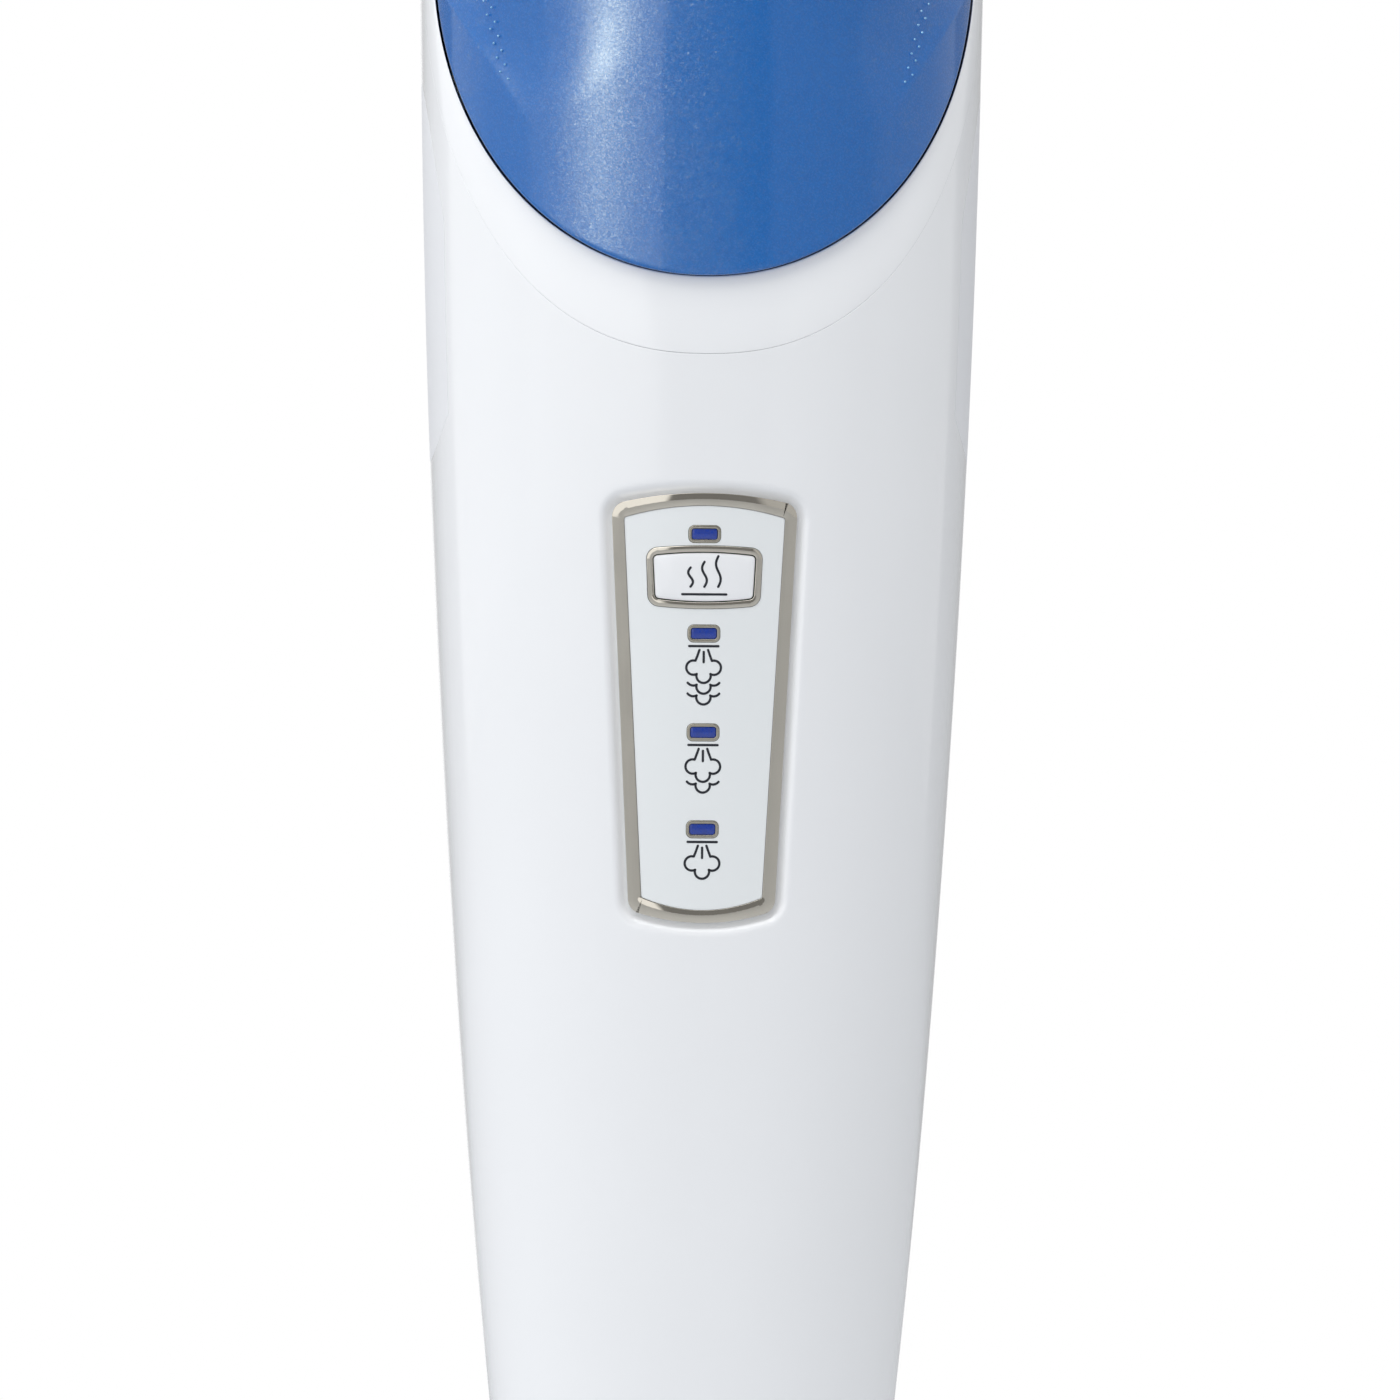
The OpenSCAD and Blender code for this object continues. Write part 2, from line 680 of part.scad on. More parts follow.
module at_led() for (z = led_heights) translate([0, 0, z]) children();
function shifted(points, z) = [for (p = points) [p[0], p[1] + z]];
function led_outline(grow, z) =
    shifted(rounded_box(led_size[0] + 2 * grow, led_size[1] + 2 * grow, 1.2 + grow), z);
function button_outline(grow) =
    shifted(rounded_box(button_size[0] + 2 * grow, button_size[1] + 2 * grow, 2.6 + grow), button_up);

module panel_frame() {
    color(CHROME)
    on_panel() difference() {
        panel_layer(panel_outline(0), 0.35, 1.5);
        panel_layer(panel_outline(-frame_band), -3, 3);
    }
}

module panel_plate() {
    color(WHITE)
    on_panel() difference() {
        panel_layer(panel_outline(-frame_band - 0.1), 0.5, 1.5);
        for (z = led_heights) panel_layer(led_outline(0.1, z), -3, 3);
        panel_layer(button_outline(0.1), -3, 3);
    }
}

module led_frames() {
    color([0.67, 0.65, 0.59])
    on_panel() for (z = led_heights) difference() {
        panel_layer(led_outline(0, z), 0.4, 1.5);
        panel_layer(led_outline(-0.6, z), -3, 3);
    }
}

module led_windows() {
    color([0.06, 0.25, 0.63])
    on_panel() for (z = led_heights) panel_layer(led_outline(-0.65, z), 0.5, 3.6);
}

module button_ring() {
    color(CHROME)
    on_panel() difference() {
        panel_layer(button_outline(0), 0.3, 1.5);
        panel_layer(button_outline(-button_band), -3, 3);
    }
}

module level_button() {
    color(WHITE)
    on_panel() {
        panel_layer(button_outline(-button_band - 0.25), 0.1, 1.6);
        translate([0, 0, button_up]) rod_y(2.5, 1.2, 5);
    }
}

module control_board() {
    color([0.08, 0.30, 0.16])
    on_panel() translate([-16, 9, -42]) cube([32, 1.6, 84]);
}

module indicator_leds() {
    color([0.85, 0.88, 0.95])
    on_panel() at_led() rod_y(1.5, 4, 8.9);
}

module level_switch() {
    color(DARK)
    on_panel() translate([0, 0, button_up]) {
        translate([-3, 6.5, -3]) cube([6, 2.4, 6]);
        rod_y(1.6, 6, 7);
    }
}

// ---- Handle ----
grip_n = 13;      // half thickness of the loop across its line
grip_x = 15;      // half width of the loop
loop_z = mop_h - grip_n - loop_half_h;
loop_y = 18;
loop_steps = 44;     // facets along the loop
half_sides = 7;      // facets round half of its section
loop_power = 2.5;
socket_z = loop_z - loop_half_h - 42;
tube_end = socket_z + 40;

// Centre line of the loop at angle t, where 0 is its rear limb and 90 its top
function loop_point(t) = [0, loop_y + loop_half_d * sign_pow(cos(t), 2 / loop_power),
    loop_z + loop_half_h * sign_pow(sin(t), 2 / loop_power)];
function loop_out(t) =
    let(d = unit(loop_point(t + 1) - loop_point(t - 1))) [0, d[2], -d[1]];

// Point on the loop's surface: angle t along the loop, angle a round its section
function grip_point(t, a, inset) =
    loop_point(t) + loop_out(t) * (grip_n - inset) * cos(a) + [(grip_x - inset) * sin(a), 0, 0];

// Half of the loop, hollow, with half of the socket for the tube
module grip_half(side) {
    n = half_sides;
    color(WHITE)
    difference() {
        union() {
            loft([for (i = [0:loop_steps - 1]) let(t = 360 * i / loop_steps)
                concat([for (k = [0:n]) grip_point(t, side * 180 * (side > 0 ? n - k : k) / n, 0)],
                    [for (k = [0:n])
                        grip_point(t, side * 180 * (side > 0 ? k : n - k) / n, wall)])], true);
            translate([0, tube_y, socket_z]) cylinder(r = tube_d / 2 + 4, h = 36);
        }
        translate([0, tube_y, socket_z - 1]) cylinder(r = tube_d / 2 + fine, h = 41);
        translate([0, tube_y, socket_z + 30]) cylinder(r = 9, h = 25);
        translate([side > 0 ? -60 : -0.1, -60, socket_z - 5]) cube([60.1, 160, 400]);
        translate([-6.5, 30, trigger_z - 40]) cube([13, 20, 48]);
        translate([0, trigger_y, trigger_z]) rod_x(trigger_pin_r + fine, -8.2, 8.2);
        gland_place() cylinder(r = gland_r + 0.1, h = 30, center = true);
    }
}
module grip_left() grip_half(-1);
module grip_right() grip_half(1);

module handle_tube() {
    color(ALUMINIUM)
    difference() {
        translate([0, tube_y, socket_low + 4.2]) cylinder(r = tube_d / 2, h = tube_end - socket_low - 4.6);
        translate([0, tube_y, socket_low]) cylinder(r = tube_d / 2 - 1.4, h = 500);
        translate([0, 0, snap_z]) rod_y(snap_r + fine, tube_y, 60);
    }
}

module snap_button() {
    color(DARK)
    translate([0, 0, snap_z]) {
        rod_y(snap_r, tube_y + 5, rear_d(snap_z) + 0.6);
        translate([-2, tube_y + 3.4, -2]) cube([4, 2, 4]);
    }
}

lead_r = 2.6;
lead_y = tube_y - 5;

module power_lead() {
    color(DARK)
    bar(concat(
        curve([-14, -26, 436], [0, lead_y, 500], [0, 70, 0], [0, 0, 60], 10),
        [for (z = [560, 660, 780, 900, tube_end - 4]) [0, lead_y, z]]), lead_r);
}

module soft_grip() {
    function grid(lift) = [for (r = [-5:5]) [for (c = [3:-1:-3])
        grip_point(360 * r / loop_steps, 180 * c / half_sides, -lift)]];
    color(GREY)
    sheet_solid(grid(1.5), grid(0.1));
}

trigger_z = loop_z + 18;
trigger_y = loop_y + loop_half_d - 8;
trigger_pin_r = 2;

module steam_trigger() {
    color(DARK)
    translate([-6, trigger_y, trigger_z]) difference() {
        rotate([90, 0, 90]) linear_extrude(12) polygon(rounded(
            [[-5, 4], [4, 4], [4, -6], [-2, -36], [-11, -33], [-9, -16]],
            [2, 2, 2, 2, 4, 6]));
        rod_x(trigger_pin_r + fine, -2, 20);
    }
}

module trigger_pin() {
    color(CHROME)
    translate([0, trigger_y, trigger_z]) rod_x(trigger_pin_r, -8, 8);
}

module trigger_switch() {
    color(DARK)
    translate([-3, trigger_y + 6.5, trigger_z - 34]) cube([6, 5, 14]);
}

gland_r = 6;
gland_bore = 3.6;
gland_y = loop_y + 26;
gland_z = loop_z - loop_half_h + 12;

// Places children with their Z axis along the cord's way out, down and to the rear
module gland_place() translate([0, gland_y, gland_z]) rotate([-130, 0, 0]) children();

module cord_gland() {
    color(DARK)
    gland_place() difference() {
        union() {
            translate([0, 0, 2]) cylinder(r = gland_r, h = 14);
            translate([0, 0, 14]) cylinder(r = gland_r + 2, h = 3);
        }
        cylinder(r = gland_bore, h = 30);
    }
}

hook_z = 905;
hook_reach = 62;     // how far the cord hooks stand behind the middle plane
spigot_r = 4;

module hook_clamp() {
    color(DARK)
    difference() {
        union() {
            translate([0, tube_y, hook_z - 14]) cylinder(r = tube_d / 2 + 3, h = 28);
            translate([0, 0, hook_z]) rod_y(8, tube_y + tube_d / 2, tube_y + tube_d / 2 + 7);
        }
        translate([0, tube_y, hook_z - 20]) cylinder(r = tube_d / 2 + 0.05, h = 40);
        translate([0, 0, hook_z]) rod_y(spigot_r + fine, tube_y + tube_d / 2 + 0.5, 60);
    }
}

module upper_cord_hook() {
    color(DARK)
    translate([0, 0, hook_z]) {
        rod_y(spigot_r, tube_y + tube_d / 2 + 1, 42);
        rod_y(8, tube_y + tube_d / 2 + 7.4, hook_reach);
        translate([-8, hook_reach - 5, 0]) cube([16, 5, 24]);
        translate([0, 0, 24]) rod_y(8, hook_reach - 5, hook_reach);
    }
}

module lower_cord_hook() {
    base = rear_d(hook_low_z) + 0.1;
    color(DARK)
    translate([0, 0, hook_low_z]) {
        rod_y(3, base - 4, base + 1);
        rod_y(8, base, hook_reach + 4);
        translate([-8, hook_reach - 1, -24]) cube([16, 5, 24]);
        translate([0, 0, -24]) rod_y(8, hook_reach - 1, hook_reach + 4);
    }
}

module shell_screws() {
    color(CHROME)
    for (z = screw_heights) translate([0, 0, z]) {
        rod_y(1.55, 21, rear_d(z) - 1);
        rod_y(3.1, rear_d(z) - 1.1, rear_d(z) + 0.4);
    }
}

// ---- Water tank ----
tank_back = -3;
neck_in = 9.5;
neck_out = 12;
neck_low = 489;

// Share of the tank's size that is left near its rounded top
function tank_round(z) = let(t = max(0, (z - tank_top + 45) / 45.5)) pow(1 - pow(t, 2.6), 0.5);

// The tank's outer form, or its hollow when inset
module tank_form(inset) {
    rows = 15;
    steps = 26;
    low = tank_tip - 1;
    high = tank_top - inset;
    intersection() {
        loft([for (r = [0:rows])
            let(s = r / rows, z = low + (high - low) * (1 - pow(1 - s, 1.4)),
                w = (half_w(z) - 1 - inset) * tank_round(z + inset),
                d = (front_d(z) - 0.4 - inset) * tank_round(z + inset))
            concat([for (i = [0:steps]) let(t = -90 + 180 * i / steps, p = 2 / body_power)
                [w * sign_pow(sin(t), p), -d * sign_pow(cos(t), p) - 0.5, z]],
                [[w, 4, z], [-w, 4, z]])]);
        u_prism(inner_u(-inset, 720), -80, tank_back - inset);
    }
}

module tank_shell() {
    color(BLUE)
    difference() {
        union() {
            difference() {
                tank_form(0);
                tank_form(2.4);
            }
            translate([0, dock_y, neck_low]) cylinder(r = neck_out, h = 16);
        }
        translate([0, dock_y, neck_low - 1]) cylinder(r = neck_in, h = 18);
    }
}

module tank_cap() {
    color(DARK)
    translate([0, dock_y, 0]) {
        difference() {
            union() {
                translate([0, 0, 485]) cylinder(r = 14.4, h = 14);
                for (i = [0:17]) rotate([0, 0, 20 * i]) translate([14.2, -0.6, 485]) cube([0.9, 1.2, 13]);
                translate([0, 0, 478]) cylinder(r = 6.5, h = 8);
            }
            translate([0, 0, 487.6]) cylinder(r = neck_out + 0.3, h = 20);
            translate([0, 0, 470]) cylinder(r = 4.5, h = 30);
        }
        for (i = [0:2]) rotate([0, 0, 120 * i]) translate([8, 0, 487])
            cylinder(r = 0.9, h = 17, $fn = 24);
        translate([0, 0, 503]) ring_z(9, 2, 1.6);
    }
}

module cap_seal() {
    color(RUBBER)
    translate([0, dock_y, 487.7]) ring_z(neck_out, neck_in + 0.2, 1.2);
}

poppet_low = 481;

module valve_poppet() {
    color(WHITE)
    translate([0, dock_y, 0]) {
        translate([0, 0, poppet_low]) cylinder(r = 1.6, h = 8);
        translate([0, 0, 487.8]) cylinder(r = 5.8, h = 2);
        translate([0, 0, 489]) cylinder(r = 1.6, h = 7);
    }
}

module valve_spring() {
    turns = 4;
    per_turn = 10;
    color(CHROME)
    bar([for (i = [0:turns * per_turn])
        [4 * cos(360 * i / per_turn), dock_y + 4 * sin(360 * i / per_turn),
            490.6 + 11.6 * i / (turns * per_turn)]], 0.5, 6);
}

mop_pad();
pad_hook_strips();
head_base_plate();
head_bumper();
steam_manifold();
pivot_block();
head_cover();
head_screws();
pitch_pin();
neck_yoke();
neck_cover_front();
neck_cover_rear();
neck_steam_pipe();
neck_washers();
swivel_bracket();
swivel_pin();
front_shell();
rear_shell();
tank_collar();
tank_bay();
top_cover();
chassis();
boiler();
boiler_bands();
thermostat();
pump_body();
pump_mounts();
pump_plunger();
dock_hose();
boiler_hose();
steam_hose();
dock_seal();
control_board();
indicator_leds();
level_switch();
panel_frame();
panel_plate();
led_frames();
led_windows();
button_ring();
level_button();
handle_tube();
power_lead();
grip_left();
grip_right();
soft_grip();
steam_trigger();
trigger_pin();
trigger_switch();
cord_gland();
hook_clamp();
upper_cord_hook();
lower_cord_hook();
shell_screws();
tank_shell();
tank_cap();
cap_seal();
valve_poppet();
valve_spring();
snap_button();
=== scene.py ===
"""Looks of the upright steam mop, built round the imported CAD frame.

Helpers and formulas work in millimetres, and make() turns them into metres. The front faces -Y.
"""
import json
import math

import bmesh
import bpy
import numpy as np
from mathutils import Matrix, Vector
from mathutils.geometry import delaunay_2d_cdt


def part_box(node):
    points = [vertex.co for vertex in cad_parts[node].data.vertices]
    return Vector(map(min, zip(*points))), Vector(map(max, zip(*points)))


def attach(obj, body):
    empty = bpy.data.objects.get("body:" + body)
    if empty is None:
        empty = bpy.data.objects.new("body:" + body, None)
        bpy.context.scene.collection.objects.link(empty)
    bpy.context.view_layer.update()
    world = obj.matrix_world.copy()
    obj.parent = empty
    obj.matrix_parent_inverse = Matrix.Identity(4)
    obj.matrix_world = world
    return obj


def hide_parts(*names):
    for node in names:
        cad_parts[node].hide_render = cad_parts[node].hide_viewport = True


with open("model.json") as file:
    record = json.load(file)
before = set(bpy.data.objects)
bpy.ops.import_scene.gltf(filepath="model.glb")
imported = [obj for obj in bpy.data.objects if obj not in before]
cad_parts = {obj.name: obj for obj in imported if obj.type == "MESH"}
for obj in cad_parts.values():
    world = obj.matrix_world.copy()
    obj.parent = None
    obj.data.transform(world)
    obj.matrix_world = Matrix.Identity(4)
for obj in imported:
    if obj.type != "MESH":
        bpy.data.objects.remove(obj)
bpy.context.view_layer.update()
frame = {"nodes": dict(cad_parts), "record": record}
MM = 0.001


def mm_box(node):
    """Lowest and highest corner of a CAD node, in millimetres."""
    low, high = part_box(node)
    return np.array(low) / MM, np.array(high) / MM


# ---- Camera ----
CAMERA_DISTANCE = 4.5      # metres from the object's middle plane
CAMERA_Z = 0.4122
SEEN_WIDTH = 0.2957        # width of the view at the object's middle plane
CAMERA_YAW = math.radians(1.8)
CAMERA_ROLL = math.radians(0.4)
AIM_X = 0.0007


def make_camera():
    data = bpy.data.cameras.new("camera")
    data.sensor_width = 36
    data.lens = data.sensor_width * CAMERA_DISTANCE / SEEN_WIDTH
    data.clip_start = 0.1
    data.clip_end = 60
    camera = bpy.data.objects.new("camera", data)
    bpy.context.scene.collection.objects.link(camera)
    aim = Vector((AIM_X, 0, CAMERA_Z))
    offset = Vector((-math.sin(CAMERA_YAW), -math.cos(CAMERA_YAW), 0)) * CAMERA_DISTANCE
    turn = (-offset).to_track_quat("-Z", "Y").to_matrix() @ Matrix.Rotation(CAMERA_ROLL, 3, "Z")
    camera.matrix_world = Matrix.Translation(aim + offset) @ turn.to_4x4()
    bpy.context.scene.camera = camera


make_camera()


# ---- Numbers and shapes ----
def sign_pow(v, p):
    return np.sign(v) * np.abs(v) ** p


def smooth(v):
    v = np.clip(v, 0, 1)
    return v * v * (3 - 2 * v)


def lip(distance, radius):
    """How far a rounded edge falls back at a distance from it."""
    d = np.clip(distance, 0, radius)
    return radius - np.sqrt(np.maximum(radius**2 - (radius - d) ** 2, 0))


def spread(start, stop, step, ends=(0, 0.05, 0.13, 0.25, 0.4, 0.7, 1.2)):
    """Stations from start to stop, closer together at both ends."""
    ends = np.array(ends)
    inner = np.linspace(start + ends[-1], stop - ends[-1], max(2, round((stop - start) / step)))
    return np.concatenate([start + ends[:-1], inner, stop - ends[-2::-1]])


def grid_solid(outer, inner, keep=None, wrap=False):
    """Closed solid between two grids of points. keep says which cells are there."""
    rows, cols = outer.shape[:2]
    count = rows * cols
    across = cols if wrap else cols - 1
    if keep is None:
        keep = np.ones((rows - 1, across), bool)
    faces = []

    def at(r, c):
        return r * cols + c % cols

    def kept(r, c):
        if wrap:
            c %= cols
        return 0 <= r < rows - 1 and 0 <= c < across and keep[r, c]

    for r, c in zip(*np.nonzero(keep)):
        r, c = int(r), int(c)
        ring = [at(r, c), at(r, c + 1), at(r + 1, c + 1), at(r + 1, c)]
        faces.append(ring)
        faces.append([i + count for i in ring[::-1]])
        for beside, a, b in (((r - 1, c), 0, 1), ((r, c + 1), 1, 2), ((r + 1, c), 2, 3), ((r, c - 1), 3, 0)):
            if not kept(*beside):
                faces.append([ring[b], ring[a], ring[a] + count, ring[b] + count])
    return np.concatenate([outer.reshape(-1, 3), inner.reshape(-1, 3)]), faces


def loft(rings, join=False):
    """Solid through closed rings with the same number of points, capped or joined end to end."""
    rings = [np.asarray(r, float) for r in rings]
    rows, cols = len(rings), len(rings[0])
    faces = []
    for r in range(rows if join else rows - 1):
        for c in range(cols):
            a, b = r * cols, (r + 1) % rows * cols
            faces.append([a + c, a + (c + 1) % cols, b + (c + 1) % cols, b + c])
    if not join:
        faces.append(list(range(cols))[::-1])
        faces.append([(rows - 1) * cols + c for c in range(cols)])
    return np.concatenate(rings), faces


def joined(*parts):
    """Several solids as one list of points and faces."""
    verts, faces, start = [], [], 0
    for part_verts, part_faces in parts:
        verts.append(np.asarray(part_verts, float))
        faces += [[i + start for i in f] for f in part_faces]
        start += len(part_verts)
    return np.concatenate(verts), faces


def unit(v):
    return v / np.linalg.norm(v)


def bar(points, radius, sides=16):
    """Round bar along points. radius may be one number or one for each point."""
    points = np.asarray(points, float)
    radius = np.broadcast_to(radius, len(points))
    along_bar = np.gradient(points, axis=0)
    first = np.cross(along_bar[0], [1.0, 0, 0])
    side = unit(first if np.linalg.norm(first) > 1e-6 else np.cross(along_bar[0], [0, 1.0, 0]))
    rings = []
    for p, d, r in zip(points, along_bar, radius):
        d = unit(d)
        side = unit(side - d * (side @ d))
        other = np.cross(d, side)
        angle = np.arange(sides) * 2 * math.pi / sides
        rings.append(p + r * (np.cos(angle)[:, None] * side + np.sin(angle)[:, None] * other))
    return loft(rings)


def turned(profile, centre, axis="z", sides=48):
    """Solid turned from a closed profile of (radius, height) points round an axis."""
    rings = []
    for k in range(sides):
        c, s = math.cos(2 * math.pi * k / sides), math.sin(2 * math.pi * k / sides)
        ring = [(r * c, r * s, h) for r, h in profile]
        if axis == "y":
            ring = [(x, z, y) for x, y, z in ring]
        if axis == "x":
            ring = [(z, x, y) for x, y, z in ring]
        rings.append(np.array(ring) + centre)
    return loft(rings, join=True)


def rounded(points, radii, steps=8):
    """Outline with each corner rounded to its radius."""
    points = np.asarray(points, float)
    out = []
    for i, p in enumerate(points):
        r = radii[i]
        if r == 0:
            out.append(p)
            continue
        u, v = unit(points[i - 1] - p), unit(points[(i + 1) % len(points)] - p)
        half = math.acos(np.clip(u @ v, -1, 1)) / 2
        centre = p + unit(u + v) * r / math.sin(half)
        start, end = p + u * r / math.tan(half) - centre, p + v * r / math.tan(half) - centre
        a = math.atan2(start[1], start[0])
        turn = (math.atan2(end[1], end[0]) - a + 3 * math.pi) % (2 * math.pi) - math.pi
        out += [centre + r * np.array([math.cos(a + turn * k / steps), math.sin(a + turn * k / steps)])
                for k in range(steps + 1)]
    return np.array(out)


def rounded_box(w, h, r):
    return rounded([[-w / 2, -h / 2], [w / 2, -h / 2], [w / 2, h / 2], [-w / 2, h / 2]], [r] * 4)


def inside(outline, points):
    """Which points lie inside a closed outline."""
    hit = np.zeros(len(points), bool)
    for a, b in zip(outline, np.roll(outline, -1, 0)):
        crosses = (a[1] > points[:, 1]) != (b[1] > points[:, 1])
        with np.errstate(divide="ignore", invalid="ignore"):
            at = (b[0] - a[0]) * (points[:, 1] - a[1]) / (b[1] - a[1]) + a[0]
        hit ^= crosses & (points[:, 0] < at)
    return hit


def edge_distance(outline, points):
    """Distance from points to a closed outline, below zero inside it."""
    best = np.full(len(points), 1e9)
    for a, b in zip(outline, np.roll(outline, -1, 0)):
        d = b - a
        t = np.clip(((points - a) @ d) / max(d @ d, 1e-12), 0, 1)
        best = np.minimum(best, np.linalg.norm(points - a - t[:, None] * d, axis=1))
    return np.where(inside(outline, points), -best, best)


# ---- Making pieces ----
def finish_mesh(obj, sharp):
    mesh = obj.data
    bm = bmesh.new()
    bm.from_mesh(mesh)
    bmesh.ops.remove_doubles(bm, verts=bm.verts, dist=1e-7)
    bmesh.ops.recalc_face_normals(bm, faces=bm.faces)
    bm.to_mesh(mesh)
    bm.free()
    mesh.polygons.foreach_set("use_smooth", [True] * len(mesh.polygons))
    mesh.set_sharp_from_angle(angle=math.radians(sharp))
    mesh.update()


def new_object(name, solid):
    if name in frame["nodes"]:
        name += "_visual"
    verts, faces = solid
    mesh = bpy.data.meshes.new(name)
    mesh.from_pydata((np.asarray(verts) * MM).tolist(), [], faces)
    obj = bpy.data.objects.new(name, mesh)
    bpy.context.scene.collection.objects.link(obj)
    return obj


def apply_modifiers(obj):
    bpy.context.view_layer.update()
    held = bpy.context.evaluated_depsgraph_get()
    mesh = bpy.data.meshes.new_from_object(obj.evaluated_get(held))
    obj.modifiers.clear()
    old, obj.data = obj.data, mesh
    mesh.name = obj.name
    bpy.data.meshes.remove(old)


def cut(obj, solids, operation="DIFFERENCE"):
    """Cuts closed solids out of obj, or joins them to it with operation UNION."""
    tools = []
    for solid in solids:
        tool = new_object("tool", solid)
        finish_mesh(tool, 35)
        modifier = obj.modifiers.new("cut", "BOOLEAN")
        modifier.operation = operation
        modifier.solver = "EXACT"
        modifier.object = tool
        tools.append(tool)
    apply_modifiers(obj)
    for tool in tools:
        bpy.data.objects.remove(tool)


def settle(obj, material, body, nodes=(), sharp=35):
    """Gives a finished object its shading and material, puts it under its body, and hides the CAD nodes it
    stands for.
    """
    finish_mesh(obj, sharp)
    obj.data.materials.clear()
    obj.data.materials.append(material)
    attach(obj, body)
    if nodes:
        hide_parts(*nodes)
    return obj


def make(name, solid, material, body, nodes=(), sharp=35):
    return settle(new_object(name, solid), material, body, nodes, sharp)


# ---- Materials ----
def linear(red, green, blue):
    """Linear colour from 0 to 255 values."""
    return tuple((c / 255 / 12.92 if c <= 10 else ((c / 255 + 0.055) / 1.055) ** 2.4)
                 for c in (red, green, blue)) + (1.0,)


class Surface:
    """A material's node tree with short ways to add what most surfaces need."""

    def __init__(self, name):
        self.material = bpy.data.materials.new(name)
        self.material.use_nodes = True
        self.tree = self.material.node_tree
        self.shader = self.tree.nodes["Principled BSDF"]
        self.place = self.tree.nodes.new("ShaderNodeTexCoord").outputs["Object"]

    def set(self, **values):
        for name, value in values.items():
            self.shader.inputs[name.replace("_", " ")].default_value = value
        return self

    def node(self, kind, inputs=None, **settings):
        node = self.tree.nodes.new(kind)
        for name, value in settings.items():
            setattr(node, name, value)
        for name, value in (inputs or {}).items():
            socket = node.inputs[name]
            if isinstance(value, bpy.types.NodeSocket):
                self.tree.links.new(value, socket)
            else:
                socket.default_value = value
        return node

    def link(self, output, name):
        self.tree.links.new(output, self.shader.inputs[name])

    def noise(self, scale, detail=2.0, stretch=(1, 1, 1), roughness=0.5):
        place = self.node("ShaderNodeVectorMath", {0: self.place, 1: stretch}, operation="MULTIPLY")
        return self.node("ShaderNodeTexNoise", {"Vector": place.outputs[0], "Scale": scale,
                                                "Detail": detail, "Roughness": roughness}).outputs["Fac"]

    def span(self, value, low, high, from_low=0.3, from_high=0.7):
        return self.node("ShaderNodeMapRange", {"Value": value, "From Min": from_low,
            "From Max": from_high, "To Min": low, "To Max": high}).outputs["Result"]

    def mix(self, factor, a, b):
        node = self.node("ShaderNodeMix", data_type="RGBA")
        for name, value in (("Factor_Float", factor), ("A_Color", a), ("B_Color", b)):
            socket = [s for s in node.inputs if s.identifier == name][0]
            if isinstance(value, bpy.types.NodeSocket):
                self.tree.links.new(value, socket)
            else:
                socket.default_value = value
        return [s for s in node.outputs if s.identifier == "Result_Color"][0]

    def bump(self, height, distance, strength=1.0, under=None):
        inputs = {"Height": height, "Distance": distance, "Strength": strength}
        if under is not None:
            inputs["Normal"] = under
        return self.node("ShaderNodeBump", inputs).outputs["Normal"]


def scaled(colour, factor):
    return tuple(c * factor for c in colour[:3]) + (1.0,)


def plastic(name, colour, rough, grain=900, depth=0.012, vary=0.03, scuff=0.05, coat=0.0, specular=0.5):
    """Moulded plastic: faint clouding, a fine grain, and a roughness that varies as handled."""
    s = Surface(name)
    s.set(Coat_Weight=coat, Coat_Roughness=0.04, Specular_IOR_Level=specular)
    cloud = s.noise(22, 3)
    s.link(s.mix(s.span(cloud, 0, 1), scaled(colour, 1 - vary), scaled(colour, 1 + vary)), "Base Color")
    wear = s.noise(60, 4, (1, 1, 0.35))
    s.link(s.span(wear, rough - scuff / 2, rough + scuff), "Roughness")
    s.link(s.bump(s.noise(grain, 2), depth * MM), "Normal")
    return s.material


def brushed(name, colour, rough, stretch=(1, 1, 0.02), scale=900, depth=0.01):
    """Brushed or drawn metal, with its lines along the axis whose stretch is small."""
    s = Surface(name)
    s.set(Metallic=1.0)
    lines = s.noise(scale, 3, stretch)
    s.link(s.mix(s.span(lines, 0, 1), scaled(colour, 0.9), scaled(colour, 1.06)), "Base Color")
    s.link(s.span(lines, rough * 0.8, rough * 1.25), "Roughness")
    s.link(s.bump(lines, depth * MM), "Normal")
    return s.material


def mirror_metal(name, colour, rough):
    """Polished plated metal with faint smears and a few fine specks."""
    s = Surface(name)
    s.set(Metallic=1.0)
    smear = s.noise(140, 4, (1, 1, 0.4))
    s.link(s.mix(s.span(smear, 0, 1), scaled(colour, 0.96), scaled(colour, 1.03)), "Base Color")
    s.link(s.span(smear, rough * 0.7, rough * 1.5), "Roughness")
    s.link(s.bump(s.noise(260, 1), 0.0015 * MM), "Normal")
    return s.material


def rubber(name, colour, rough, scale=1400, depth=0.03):
    """Soft rubber with a pebbled skin and dusty high spots."""
    s = Surface(name)
    s.set(Specular_IOR_Level=0.35)
    pebble = s.node("ShaderNodeTexVoronoi", {"Vector": s.place, "Scale": scale}).outputs["Distance"]
    dust = s.noise(45, 4)
    s.link(s.mix(s.span(dust, 0, 1), scaled(colour, 0.9), scaled(colour, 1.25)), "Base Color")
    s.link(s.span(dust, rough - 0.06, rough + 0.08), "Roughness")
    s.link(s.bump(pebble, depth * MM), "Normal")
    return s.material


